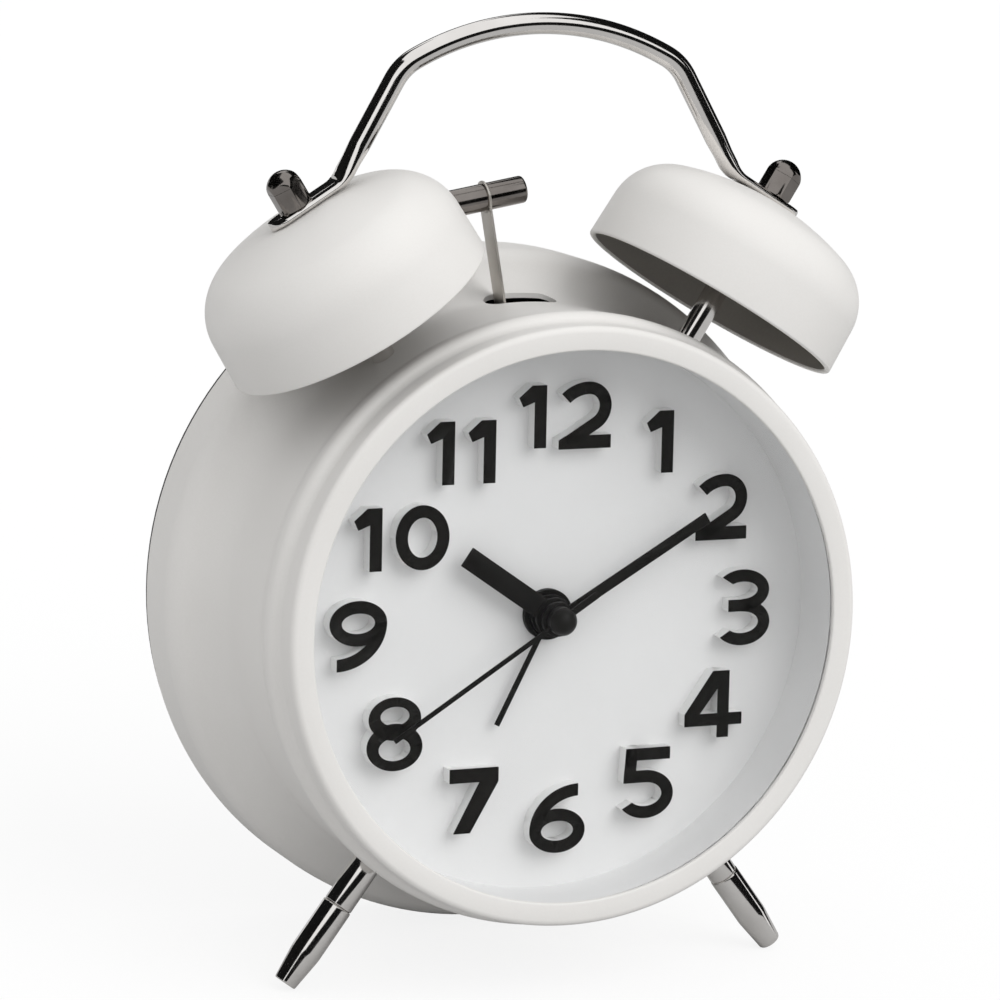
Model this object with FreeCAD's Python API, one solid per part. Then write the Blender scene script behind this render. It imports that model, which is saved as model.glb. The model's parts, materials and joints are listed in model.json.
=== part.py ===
import FreeCAD, Part
import math
import os

# Twin-bell alarm clock on two splayed legs.
# The clock is drawn in its case frame: origin on the dial axis in the plane of the bezel,
# X to the viewer's right, Y from the bezel to the back, Z up. place() then leans it back
# until both feet and the rear rim touch the table, and centres it over the origin.
# All sizes are in millimetres and all angles in degrees.

V = FreeCAD.Vector

# Running and assembly clearances
SEAT = 0.1
RUN = 0.05
FREE = 0.3

# Pressed steel case: r is measured from the dial axis, y from the bezel backwards
WALL = 0.8
OPENING_R = 46.0
BEZEL_R = 50.0
BEZEL_EDGE = 0.9
BEZEL_DEPTH = 4.2
SHOULDER_R = 51.5
SHOULDER_Y = 8.0
WAIST_R = 50.7
WAIST_Y = 13.5
FLARE_Y = 26.5
FLANGE_R = 58.05
FLANGE_Y = 41.5
CASE_END_Y = 50.3
STEP_SHARE = 0.5
FLARE_SHARE = 0.7
FLAT_TURN = 30.0

# Window, spacer ring and dial behind the bezel
LENS_THICK = 1.5
LENS_R = 48.9
RING_IN_R = 46.4
RING_OUT_R = 47.4
RING_LIP = 1.2
DIAL_Y = 14.4
DIAL_THICK = 1.2
DIAL_R = 47.2
DIAL_BOSS_R = 3.2
DIAL_BOSS_X = 41.4
DIAL_BOSS_Z = 13.4
DIAL_BOSS_END_Y = 49.8
SCREW_CORE_R = 1.25

# Raised numerals
NUMERAL_RISE = 2.65
NUMERAL_CAP = 0.25
NUMERAL_STROKE = 2.05
DIGIT_PAIR_GAP = 2.4
NUMERAL_SPOTS = {
    1: (18.5, 28.4), 2: (30.0, 17.0), 3: (34.4, -0.3), 4: (29.5, -16.6), 5: (17.6, -29.3),
    6: (1.6, -34.3), 7: (-13.4, -30.2), 8: (-27.5, -18.1), 9: (-34.1, -1.4), 10: (-26.8, 14.3),
    11: (-16.7, 28.0), 12: (1.4, 33.4),
}

# Hands: depth of each front face, lengths from the dial axis, widths, clock angles
HAND_THICK = 0.4
ALARM_HAND_Y = 12.6
HOUR_HAND_Y = 10.9
MINUTE_HAND_Y = 9.3
SECOND_HAND_Y = 7.7
ALARM_HAND_LENGTH = 20.2
HOUR_HAND_LENGTH = 19.0
MINUTE_HAND_LENGTH = 30.9
SECOND_HAND_LENGTH = 34.4
SECOND_TAIL_LENGTH = 7.9
ALARM_HAND_WIDTH = 0.9
HOUR_HAND_WIDTH = 3.6
MINUTE_HAND_WIDTH = 1.85
SECOND_HAND_WIDTH = 0.75
SECOND_TAIL_WIDTH = 1.15
ALARM_BOSS_R = 3.5
HOUR_BOSS_R = 3.3
MINUTE_BOSS_R = 2.9
SECOND_CAP_R = 2.35
ALARM_ANGLE = 206.8
HOUR_ANGLE = 304.9
MINUTE_ANGLE = 59.4
SECOND_ANGLE = 237.4

# Nested arbors on the dial axis, from the inside out
SECOND_ARBOR_R = 0.55
PIPE_WALL = 0.65
BUSH_R = 4.0
BUSH_FRONT_Y = 13.5

# Movement housing
MOVE_HALF_X = 25.0
MOVE_TOP_Z = 16.0
MOVE_LOW_Z = -36.0
MOVE_WALL = 1.4
MOVE_DEPTH = 17.0

# Wheels: module, teeth and the front face of each wheel
MODULE = 0.6
MINUTE_TEETH = 10
MOTION_TEETH = 30
MOTION_PINION_TEETH = 8
HOUR_TEETH = 32
ALARM_TEETH = 24
ALARM_PINION_TEETH = 16
SECOND_MODULE = 0.5
SECOND_TEETH = 40
THIRD_PINION_TEETH = 8
THIRD_MODULE = 0.4
THIRD_TEETH = 48
ROTOR_TEETH = 8
ROTOR_BEARING = -30.0
WHEEL_THICK = 1.2
PINION_EXTRA = 0.2
ALARM_WHEEL_Y = 17.5
HOUR_WHEEL_Y = 19.3
MINUTE_WHEEL_Y = 21.3
SECOND_WHEEL_Y = 24.0
THIRD_WHEEL_Y = 26.2
MAGNET_Y = 28.0
MAGNET_R = 2.8
MAGNET_THICK = 1.8
SHAFT_R = 1.0
ARBOR_R = 0.6

# Stepping motor and circuit board
STATOR_THICK = 1.2
STATOR_GAP = 0.5
STATOR_HALF_X = 15.0
STATOR_LEG = 3.6
STATOR_RISE = 4.5
COIL_Z = -29.6
COIL_R = 2.2
COIL_LENGTH = 20.0
BOARD_THICK = 1.2

# Rear cover
COVER_INSET = 0.45
COVER_R = FLANGE_R - COVER_INSET
COVER_BACK_Y = 53.2
COVER_EDGE = 1.0
COVER_PLATE = 2.0
COVER_RIM_WIDTH = 6.6
COVER_FIELD_R = COVER_R - COVER_RIM_WIDTH
COVER_FIELD_DROP = 1.0
COVER_SKIRT = 1.3
COVER_SKIRT_Y = 45.5
SCREW_HEAD_R = 2.6
SCREW_HEAD = 1.4
SCREW_LENGTH = 9.0

# Setting knobs, alarm switch and battery bay
KNOB_R = 6.5
KNOB_HEIGHT = 5.0
KNOB_RIBS = 16
KNOB_RIB_R = 0.5
KNOB_GAP = 0.4
SWITCH_Z = 27.0
SWITCH_TRAVEL = 4.0
SWITCH_LENGTH = 5.0
SWITCH_WIDTH = 4.2
SWITCH_RISE = 1.6
CELL_R = 7.15
CELL_LENGTH = 49.2
CELL_NUB_R = 2.7
CELL_NUB = 1.2
CELL_PITCH = 14.9
BAY_TOP_Z = -11.8
BAY_WALL = 1.4
BAY_END_GAP = 2.2
BAY_DEPTH = 16.0
CONTACT_HALF = 5.0
CONTACT_THICK = 0.4
SPRING_FOOT_R = 4.0
SPRING_TOP_R = 2.4
SPRING_WIRE = 0.8
DOOR_THICK = 1.5
DOOR_GAP = 0.3

# Bells, posts, handle and nuts: radial places run from the dial axis outwards
BELL_ANGLE = 32.0
BELL_Y = 21.4
BELL_RIM_D = 59.1
BELL_RIM_R = 23.35
BELL_HEIGHT = 19.8
BELL_WALL = 1.0
BELL_SHOULDER_R = 9.9
BELL_SHOULDER_C = 13.2
BELL_SHOULDER_Z = 7.8
BELL_SEAT_R = 4.6
POST_R = 2.0
STUD_R = 1.45
NUT_ACROSS = 5.0
NUT_HEX = 3.9
NUT_DOME = 2.6
POST_NUT_ACROSS = 5.5
POST_NUT_THICK = 2.2
TAB_WIDTH = 5.6
TAB_THICK = 1.45
TAB_OVERHANG = 4.9
HANDLE_ROD_R = 1.8
HANDLE_TAB_RUN = 8.5
HANDLE_LEG_IN = 10.3
HANDLE_LEG_RISE = 18.3
HANDLE_CROWN_RISE = 7.0
HANDLE_LOW_BEND = 6.5
HANDLE_HIGH_BEND = 9.0

# Legs
LEG_ANGLE = 143.8
LEG_Y = 17.2
LEG_COLLAR_R = 2.5
LEG_JOINT_D = 59.4
LEG_TIP_D = 74.9
LEG_FOOT_R = 2.6
LEG_TAPER = 6.0
LEG_TIP_R = 1.85
LEG_STUD_R = 1.45
LEG_NUT_ACROSS = 5.5
LEG_NUT_THICK = 1.9

# Hammer and the magnet drive below it
HAMMER_Y = 28.7
PIVOT_Z = 30.5
HAMMER_LEAN = -10.2
HEAD_OVER_RIM = 9.6
HAMMER_RADIUS = BELL_RIM_D + HEAD_OVER_RIM - PIVOT_Z
HEAD_R = 2.3
HEAD_LENGTH = 14.0
STRAP_WIDTH = 2.15
STRAP_THICK = 0.45
ARM_THICK = 0.5
HUB_R = 2.4
HUB_LENGTH = 6.6
PIVOT_R = 1.0
MAGNET_DROP = 5.8
MAGNET_HALF_X = 3.6
MAGNET_HALF = 1.5
POLE_X = 8.6
DRIVE_COIL_R = 2.5
DRIVE_COIL_LENGTH = 12.0
DRIVE_CORE_R = 1.2
POLE_HALF = 2.5
POLE_THICK = 1.4
SLOT_LENGTH = 12.8
SLOT_WIDTH = 3.6

# Places that follow from the sizes above
LENS_Y = WALL
RING_Y = LENS_Y + LENS_THICK
DIAL_BACK_Y = DIAL_Y + DIAL_THICK
MOVE_REAR_Y = DIAL_BACK_Y + MOVE_DEPTH
MINUTE_BORE_R = SECOND_ARBOR_R + RUN
MINUTE_PIPE_R = MINUTE_BORE_R + PIPE_WALL
HOUR_BORE_R = MINUTE_PIPE_R + RUN
HOUR_PIPE_R = HOUR_BORE_R + PIPE_WALL
ALARM_BORE_R = HOUR_PIPE_R + RUN
ALARM_PIPE_R = ALARM_BORE_R + PIPE_WALL
BUSH_BORE_R = ALARM_PIPE_R + RUN
SET_X = MODULE * (MINUTE_TEETH + MOTION_TEETH) / 2
ALARM_SET_X = MODULE * (ALARM_TEETH + ALARM_PINION_TEETH) / 2
THIRD_Z = -SECOND_MODULE * (SECOND_TEETH + THIRD_PINION_TEETH) / 2
ROTOR_REACH = THIRD_MODULE * (THIRD_TEETH + ROTOR_TEETH) / 2
ROTOR_X = ROTOR_REACH * math.cos(math.radians(ROTOR_BEARING))
ROTOR_Z = THIRD_Z + ROTOR_REACH * math.sin(math.radians(ROTOR_BEARING))
FIELD_Y = COVER_BACK_Y - COVER_FIELD_DROP
FIELD_FRONT_Y = FIELD_Y - COVER_PLATE
BAY_LOW_Z = BAY_TOP_Z - 2 * CELL_PITCH
BAY_HALF_X = CELL_LENGTH / 2 + BAY_END_GAP
CELL_Y = FIELD_Y - DOOR_THICK - CELL_R - 2 * SEAT
BELL_TOP_D = BELL_RIM_D + BELL_HEIGHT
TAB_D = BELL_TOP_D
NUT_D = TAB_D + TAB_THICK
HUB_FRONT_Y = HAMMER_Y - HUB_LENGTH / 2


def rod(r, y0, y1, x=0.0, z=0.0):
    """A round bar along the case's depth."""
    return Part.makeCylinder(r, y1 - y0, V(x, y0, z), V(0, 1, 0))


def tube(r_out, r_in, y0, y1, x=0.0, z=0.0):
    """A pipe along the case's depth."""
    return rod(r_out, y0, y1, x, z).cut(rod(r_in, y0, y1, x, z))


def block(x0, x1, y0, y1, z0, z1):
    """A box between two corners."""
    return Part.makeBox(x1 - x0, y1 - y0, z1 - z0, V(x0, y0, z0))


def spun(edges):
    """Spins a closed outline of (r, y) edges round the dial axis."""
    return Part.Face(Part.Wire(edges)).revolve(V(0, 0, 0), V(0, 1, 0), 360)


def line(a, b):
    """A straight edge between two (r, y) points."""
    return Part.makeLine(V(a[0], a[1], 0), V(b[0], b[1], 0))


def chain(points):
    """Straight edges through a row of (r, y) points."""
    return [line(a, b) for a, b in zip(points, points[1:])]


def arc(a, m, b):
    """An arc through three (r, y) points."""
    return Part.Arc(V(a[0], a[1], 0), V(m[0], m[1], 0), V(b[0], b[1], 0)).toShape()


def s_curve(start, end, share, inset):
    """Two arcs that lead from one straight wall to a parallel one.

    share is the first arc's part of both radii. inset moves the curve towards the axis, where it is
    hidden, and its arcs become short cones.
    """
    rise = end[0] - start[0]
    run = end[1] - start[1]
    turn = 2 * math.atan2(abs(rise), run)
    side = math.copysign(1.0, rise)
    radii = run / math.sin(turn)
    first = radii * share + side * inset
    second = radii * (1 - share) - side * inset
    r0 = start[0] - inset
    r1 = end[0] - inset

    def on_first(angle):
        return (r0 + side * first * (1 - math.cos(angle)), start[1] + first * math.sin(angle))

    def on_second(angle):
        return (r1 - side * second * (1 - math.cos(angle)), end[1] - second * math.sin(angle))

    if inset:
        flats = max(2, math.ceil(math.degrees(turn) / FLAT_TURN))
        down = [on_first(turn * k / flats) for k in range(flats)]
        up = [on_second(turn * k / flats) for k in range(flats, -1, -1)]
        return chain(down + up)
    return [
        arc(on_first(0), on_first(turn / 2), on_first(turn)),
        arc(on_second(turn), on_second(turn / 2), on_second(0)),
    ]


def case_skin(inset):
    """The case's outline behind the bezel's front edge, moved inwards by inset."""
    bezel_end = (BEZEL_R, BEZEL_DEPTH)
    shoulder = (SHOULDER_R, SHOULDER_Y)
    waist = (WAIST_R, WAIST_Y)
    flare = (WAIST_R, FLARE_Y)
    flange = (FLANGE_R, FLANGE_Y)
    edges = [line((BEZEL_R - inset, BEZEL_EDGE), (BEZEL_R - inset, BEZEL_DEPTH))]
    edges += s_curve(bezel_end, shoulder, STEP_SHARE, inset)
    edges += s_curve(shoulder, waist, STEP_SHARE, inset)
    edges.append(line((WAIST_R - inset, WAIST_Y), (WAIST_R - inset, FLARE_Y)))
    edges += s_curve(flare, flange, FLARE_SHARE, inset)
    edges.append(line((FLANGE_R - inset, FLANGE_Y), (FLANGE_R - inset, CASE_END_Y)))
    return edges


def broken_edge(r, y, edge, side):
    """A corner at radius r and depth y, broken in two flats; side is 1 at the front, -1 at the back."""
    inner = edge * (1 - math.sqrt(0.5))
    return chain([(r - edge, y), (r - inner, y + side * inner), (r, y + side * edge)])


def radial(shape, angle, y):
    """Turns a piece drawn upright on the Z axis to a clock angle and moves it back to y."""
    shape = shape.copy()
    shape.rotate(V(0, 0, 0), V(0, 1, 0), angle)
    shape.translate(V(0, y, 0))
    return shape


def upright(r, z0, z1):
    """A round bar on the Z axis."""
    return Part.makeCylinder(r, z1 - z0, V(0, 0, z0))


def hexagon(across, z0, z1):
    """A six-sided bar on the Z axis, by its width across flats."""
    corner = across / math.sqrt(3)
    points = []
    for k in range(7):
        a = math.radians(60 * k)
        points.append(V(corner * math.cos(a), corner * math.sin(a), z0))
    return Part.Face(Part.makePolygon(points)).extrude(V(0, 0, z1 - z0))


def both(make):
    """A piece at the left and its twin at the right, as two solids."""
    return Part.makeCompound([make(-1), make(1)])


def make_case():
    """Pressed drum: bezel, shoulder, waist, trumpet flare and rear flange, with its holes."""
    outline = [line((OPENING_R, 0), (BEZEL_R - BEZEL_EDGE, 0))]
    outline += broken_edge(BEZEL_R, 0, BEZEL_EDGE, 1)
    outline += case_skin(0)
    outline.append(line((FLANGE_R, CASE_END_Y), (FLANGE_R - WALL, CASE_END_Y)))
    outline += case_skin(WALL)
    outline += chain([(BEZEL_R - WALL, BEZEL_EDGE), (BEZEL_R - WALL, WALL), (OPENING_R, WALL)])
    outline.append(line((OPENING_R, WALL), (OPENING_R, 0)))
    case = spun(Part.__sortEdges__(outline))
    reach = FLANGE_R
    for side in (-1, 1):
        post = upright(STUD_R + SEAT, 0, reach)
        leg = upright(LEG_STUD_R + SEAT, 0, reach)
        case = case.cut(radial(post, side * BELL_ANGLE, BELL_Y))
        case = case.cut(radial(leg, side * LEG_ANGLE, LEG_Y))
    flat = (SLOT_LENGTH - SLOT_WIDTH) / 2
    slot = block(-flat, flat, HAMMER_Y - SLOT_WIDTH / 2, HAMMER_Y + SLOT_WIDTH / 2, 0, reach)
    for side in (-1, 1):
        end = upright(SLOT_WIDTH / 2, 0, reach)
        end.translate(V(side * flat, HAMMER_Y, 0))
        slot = slot.fuse(end)
    return case.cut(slot.removeSplitter())


def make_lens():
    """Flat window held between the bezel and the spacer ring."""
    return rod(LENS_R, LENS_Y, LENS_Y + LENS_THICK)


def make_spacer_ring():
    """White ring between window and dial, with a lip that centres it in the bezel."""
    lip = tube(LENS_R, RING_IN_R, RING_Y, RING_Y + RING_LIP)
    wall = tube(RING_OUT_R, RING_IN_R, RING_Y, DIAL_Y)
    return lip.fuse(wall).removeSplitter()


def make_dial():
    """Dial disc with the bush hole and four screw bosses on its back."""
    disc = rod(DIAL_R, DIAL_Y, DIAL_BACK_Y)
    for x in (-DIAL_BOSS_X, DIAL_BOSS_X):
        for z in (-DIAL_BOSS_Z, DIAL_BOSS_Z):
            boss = rod(DIAL_BOSS_R, DIAL_Y, DIAL_BOSS_END_Y, x, z)
            core = rod(SCREW_CORE_R, DIAL_BOSS_END_Y - SCREW_LENGTH, DIAL_BOSS_END_Y, x, z)
            disc = disc.fuse(boss).cut(core)
    return disc.cut(rod(BUSH_R + SEAT, DIAL_Y, DIAL_BACK_Y)).removeSplitter()


def flat_shape(points):
    """A flat face in the dial's plane from (x, z) corners."""
    corners = [V(x, 0, z) for x, z in points]
    return Part.Face(Part.makePolygon(corners + corners[:1]))


def stroke(a, b, width=NUMERAL_STROKE):
    """A straight stroke of a digit from a to b, with square ends."""
    dx = b[0] - a[0]
    dz = b[1] - a[1]
    k = width / 2 / math.hypot(dx, dz)
    nx = -dz * k
    nz = dx * k
    return flat_shape([
        (a[0] + nx, a[1] + nz), (b[0] + nx, b[1] + nz),
        (b[0] - nx, b[1] - nz), (a[0] - nx, a[1] - nz),
    ])


def oval(cx, cz, rx, rz):
    """A filled ellipse in the dial's plane."""
    if rx >= rz:
        curve = Part.Ellipse(V(cx + rx, 0, cz), V(cx, 0, cz + rz), V(cx, 0, cz))
    else:
        curve = Part.Ellipse(V(cx, 0, cz + rz), V(cx + rx, 0, cz), V(cx, 0, cz))
    return Part.Face(Part.Wire(curve.toShape()))


def loop(cx, cz, rx, rz):
    """An oval band one stroke wide; rx and rz are its outer half sizes."""
    t = NUMERAL_STROKE
    return oval(cx, cz, rx, rz).cut(oval(cx, cz, rx - t, rz - t))


def sector(cx, cz, start, end, reach=12.0):
    """A wedge from angle start to end, counted anticlockwise from the viewer's right."""
    points = [(cx, cz)]
    steps = max(2, math.ceil((end - start) / 60) + 1)
    for k in range(steps):
        a = math.radians(start + (end - start) * k / (steps - 1))
        points.append((cx + reach * math.cos(a), cz + reach * math.sin(a)))
    return flat_shape(points)


def digit_face(digit):
    """One digit as a flat face, centred on its own box, with its width."""
    t = NUMERAL_STROKE
    if digit == 1:
        w, h = 4.8, 10.4
        flag = flat_shape([
            (w / 2 - t, h / 2), (w / 2 - t, h / 2 - 2.7), (-w / 2 + 0.7, h / 2 - 3.5),
            (-w / 2, h / 2 - 2.0), (-w / 2 + 2.3, h / 2),
        ])
        return flat_shape([
            (w / 2 - t, h / 2), (w / 2, h / 2), (w / 2, -h / 2), (w / 2 - t, -h / 2),
        ]).fuse(flag), w
    if digit == 2:
        w, h = 9.0, 10.9
        bowl_r = 4.05
        cz = h / 2 - bowl_r
        bowl = loop(0.15, cz, w / 2 - 0.25, bowl_r).common(sector(0.15, cz, -38, 150))
        slope = stroke((w / 2 - 1.75, cz - 2.2), (-w / 2 + 1.9, -h / 2 + 1.3))
        base = flat_shape([
            (-w / 2, -h / 2), (w / 2, -h / 2), (w / 2, -h / 2 + t),
            (-w / 2 + 2.6, -h / 2 + t), (-w / 2, -h / 2 + 1.3),
        ])
        return bowl.fuse(slope).fuse(base), w
    if digit == 3:
        w, h = 9.9, 12.9
        upper_r, lower_r = 3.55, 3.9
        top_z, low_z = h / 2 - upper_r, -h / 2 + lower_r
        upper = loop(-0.1, top_z, w / 2 - 0.1, upper_r).common(sector(-0.1, top_z, -90, 148))
        lower = loop(-0.1, low_z, w / 2 + 0.1, lower_r).common(sector(-0.1, low_z, -148, 90))
        mid = flat_shape([
            (-2.6, top_z - upper_r), (0.2, top_z - upper_r),
            (0.2, low_z + lower_r), (-2.6, low_z + lower_r),
        ])
        return upper.fuse(lower).fuse(mid), w
    if digit == 4:
        w, h = 10.4, 11.4
        stem_x = w / 2 - 2.4
        bar_z = -h / 2 + 2.1
        bar = flat_shape([
            (-w / 2, bar_z), (w / 2, bar_z), (w / 2, bar_z + t), (-w / 2, bar_z + t),
        ])
        stem = flat_shape([
            (stem_x - t, -h / 2), (stem_x, -h / 2), (stem_x, h / 2), (stem_x - t, h / 2),
        ])
        slope = flat_shape([
            (-w / 2, bar_z + t), (-w / 2 + 2.7, bar_z + t), (stem_x - t, h / 2 - 2.9),
            (stem_x - t, h / 2), (stem_x - t - 0.9, h / 2),
        ])
        return bar.fuse(stem).fuse(slope), w
    if digit == 5:
        w, h = 9.7, 12.0
        bowl_r = 4.1
        cz = -h / 2 + bowl_r
        bowl = loop(-0.2, cz, w / 2 + 0.2, bowl_r).common(sector(-0.2, cz, -150, 90))
        top = flat_shape([
            (-w / 2 + 1.1, h / 2 - t), (w / 2 - 0.7, h / 2 - t),
            (w / 2 - 0.7, h / 2), (-w / 2 + 1.1, h / 2),
        ])
        stem = flat_shape([
            (-w / 2 + 0.7, cz + bowl_r - t), (-w / 2 + 0.7 + t, cz + bowl_r - t),
            (-w / 2 + 1.1 + t, h / 2), (-w / 2 + 1.1, h / 2),
        ])
        mid = flat_shape([
            (-w / 2 + 0.7, cz + bowl_r - t), (0, cz + bowl_r - t), (0, cz + bowl_r),
            (-w / 2 + 0.8, cz + bowl_r),
        ])
        return bowl.fuse(top).fuse(stem).fuse(mid), w
    if digit in (6, 9):
        w, h = 9.9, 11.6
        bowl_r = 3.75
        cz = -h / 2 + bowl_r
        bowl = loop(0, cz, w / 2, bowl_r)
        sweep_rx, sweep_rz = w / 2 + 3.9, h - bowl_r
        back = oval(sweep_rx - w / 2, cz, sweep_rx, sweep_rz)
        back = back.cut(oval(sweep_rx - w / 2, cz, sweep_rx - t, sweep_rz - t))
        back = back.common(flat_shape([
            (-w / 2, cz), (0, cz), (3.6, cz + 3), (3.6, h / 2 + 1), (-w / 2, h / 2 + 1),
        ]))
        face = bowl.fuse(back)
        if digit == 9:
            face.rotate(V(0, 0, 0), V(0, 1, 0), 180)
        return face, w
    if digit == 7:
        w, h = 8.6, 10.9
        return flat_shape([
            (-w / 2, h / 2), (w / 2, h / 2), (w / 2, h / 2 - 2.4), (-0.6, -h / 2),
            (-w / 2 + 0.8, -h / 2), (w / 2 - 3.3, h / 2 - t - 0.3), (-w / 2, h / 2 - t - 0.3),
        ]), w
    if digit == 8:
        w, h = 9.6, 12.3
        upper_r, lower_r = 3.4, 3.75
        top_z, low_z = h / 2 - upper_r, -h / 2 + lower_r
        hole_up = oval(0, top_z, w / 2 - 0.15 - t, upper_r - 1.75)
        hole_low = oval(0, low_z, w / 2 - t, lower_r - 1.75)
        body = oval(0, top_z, w / 2 - 0.15, upper_r + 0.55)
        body = body.fuse(oval(0, low_z, w / 2, lower_r + 0.55))
        box = flat_shape([(-w, -h / 2), (w, -h / 2), (w, h / 2), (-w, h / 2)])
        return body.common(box).cut(hole_up).cut(hole_low), w
    w, h = 9.3, 10.7
    return loop(0, 0, w / 2, h / 2), w


def numeral_faces():
    """The faces of all twelve numerals, upright round the dial."""
    faces = []
    for hour, (middle_x, middle_z) in NUMERAL_SPOTS.items():
        digits = [digit_face(int(c)) for c in str(hour)]
        total = sum(w for _, w in digits) + DIGIT_PAIR_GAP * (len(digits) - 1)
        x = middle_x - total / 2
        for face, w in digits:
            face.translate(V(x + w / 2, 0, middle_z))
            faces.append(face.removeSplitter())
            x += w + DIGIT_PAIR_GAP
    return faces


def make_numerals(y_back, rise):
    """All numerals as blocks that stand forwards from y_back."""
    blocks = []
    for face in numeral_faces():
        face.translate(V(0, y_back, 0))
        blocks.append(face.extrude(V(0, -rise, 0)))
    return Part.makeCompound(blocks)


def clock_turn(shape, angle):
    """Turns a piece that points to twelve clockwise, as the viewer sees it."""
    shape.rotate(V(0, 0, 0), V(0, 1, 0), angle)
    return shape


def make_hand(length, width, boss_r, bore_r, y, angle):
    """A flat baton hand with a round boss pressed on its pipe."""
    blade = block(-width / 2, width / 2, y, y + HAND_THICK, 0, length)
    boss = rod(boss_r, y - HAND_THICK, y + HAND_THICK)
    hand = blade.fuse(boss).cut(rod(bore_r, y - HAND_THICK, y + HAND_THICK))
    return clock_turn(hand.removeSplitter(), angle)


def make_second_hand():
    """Thin hand with a rounded tail and a domed cap over the arbor's end."""
    y = SECOND_HAND_Y
    blade = block(-SECOND_HAND_WIDTH / 2, SECOND_HAND_WIDTH / 2, y, y + HAND_THICK, 0,
                  SECOND_HAND_LENGTH)
    half = SECOND_TAIL_WIDTH / 2
    tail = block(-half, half, y, y + HAND_THICK, -SECOND_TAIL_LENGTH + half, 0)
    tail = tail.fuse(rod(half, y, y + HAND_THICK, 0, -SECOND_TAIL_LENGTH + half))
    cap = rod(SECOND_CAP_R, y - 0.9, y + HAND_THICK + 0.3)
    dome_r = SECOND_CAP_R * 1.25
    sink = math.sqrt(dome_r ** 2 - SECOND_CAP_R ** 2)
    dome = Part.makeSphere(dome_r, V(0, y - 0.9 + sink, 0))
    dome = dome.common(rod(SECOND_CAP_R, y - 0.9 - dome_r, y - 0.9))
    hand = blade.fuse(tail).fuse(cap).fuse(dome)
    hand = hand.cut(rod(SECOND_ARBOR_R, y, y + HAND_THICK + 0.3))
    return clock_turn(hand.removeSplitter(), SECOND_ANGLE)


def gear(teeth, module, y0, y1, x, z, toward):
    """A toothed wheel with one tooth on the line that points along the angle toward."""
    pitch = 360.0 / teeth
    root_r = module * (teeth - 2.4) / 2
    tip_r = module * (teeth + 1.7) / 2
    points = []
    for k in range(teeth):
        middle = toward + k * pitch
        for r, share in ((root_r, -0.30), (tip_r, -0.11), (tip_r, 0.11), (root_r, 0.30)):
            a = math.radians(middle + share * pitch)
            points.append(V(x + r * math.cos(a), y0, z + r * math.sin(a)))
    points.append(points[0])
    return Part.Face(Part.makePolygon(points)).extrude(V(0, y1 - y0, 0))


def make_minute_pipe():
    """Minute pipe with its pinion."""
    y1 = MINUTE_WHEEL_Y + WHEEL_THICK + PINION_EXTRA
    pinion = gear(MINUTE_TEETH, MODULE, MINUTE_WHEEL_Y - PINION_EXTRA, y1, 0, 0, 180)
    pipe = pinion.fuse(rod(MINUTE_PIPE_R, MINUTE_HAND_Y - HAND_THICK, y1))
    return pipe.cut(rod(MINUTE_BORE_R, MINUTE_HAND_Y - HAND_THICK, y1)).removeSplitter()


def make_motion_wheel():
    """Wheel, pinion and setting shaft that link minute pinion, hour wheel and knob."""
    y0 = HOUR_WHEEL_Y - PINION_EXTRA
    half = 180.0 / MOTION_TEETH
    wheel = gear(MOTION_TEETH, MODULE, MINUTE_WHEEL_Y, MINUTE_WHEEL_Y + WHEEL_THICK, -SET_X, 0, half)
    pinion = gear(MOTION_PINION_TEETH, MODULE, y0, MINUTE_WHEEL_Y, -SET_X, 0, 0)
    shaft = rod(SHAFT_R, DIAL_BACK_Y + SEAT, COVER_BACK_Y + KNOB_HEIGHT / 2, -SET_X)
    return wheel.fuse(pinion).fuse(shaft).removeSplitter()


def make_hour_wheel():
    """Hour wheel on its pipe."""
    y1 = HOUR_WHEEL_Y + WHEEL_THICK
    half = 180.0 / HOUR_TEETH
    wheel = gear(HOUR_TEETH, MODULE, HOUR_WHEEL_Y, y1, 0, 0, 180 + half)
    wheel = wheel.fuse(rod(HOUR_PIPE_R, HOUR_HAND_Y - HAND_THICK, y1))
    return wheel.cut(rod(HOUR_BORE_R, HOUR_HAND_Y - HAND_THICK, y1)).removeSplitter()


def make_alarm_wheel():
    """Alarm wheel on the outermost pipe."""
    y1 = ALARM_WHEEL_Y + WHEEL_THICK
    wheel = gear(ALARM_TEETH, MODULE, ALARM_WHEEL_Y, y1, 0, 0, 0)
    wheel = wheel.fuse(rod(ALARM_PIPE_R, ALARM_HAND_Y - HAND_THICK, y1))
    return wheel.cut(rod(ALARM_BORE_R, ALARM_HAND_Y - HAND_THICK, y1)).removeSplitter()


def make_alarm_pinion():
    """Alarm setting pinion and the shaft that carries its knob."""
    half = 180.0 / ALARM_PINION_TEETH
    y0 = ALARM_WHEEL_Y - PINION_EXTRA
    pinion = gear(ALARM_PINION_TEETH, MODULE, y0, ALARM_WHEEL_Y + WHEEL_THICK, ALARM_SET_X, 0,
                  180 + half)
    shaft = rod(SHAFT_R, DIAL_BACK_Y + SEAT, COVER_BACK_Y + KNOB_HEIGHT / 2, ALARM_SET_X)
    return pinion.fuse(shaft).removeSplitter()


def make_seconds_wheel():
    """Seconds wheel on the arbor that runs inside the minute pipe."""
    wheel = gear(SECOND_TEETH, SECOND_MODULE, SECOND_WHEEL_Y, SECOND_WHEEL_Y + WHEEL_THICK, 0, 0, 270)
    arbor = rod(SECOND_ARBOR_R, SECOND_HAND_Y, MOVE_REAR_Y - SEAT)
    return wheel.fuse(arbor).removeSplitter()


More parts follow.
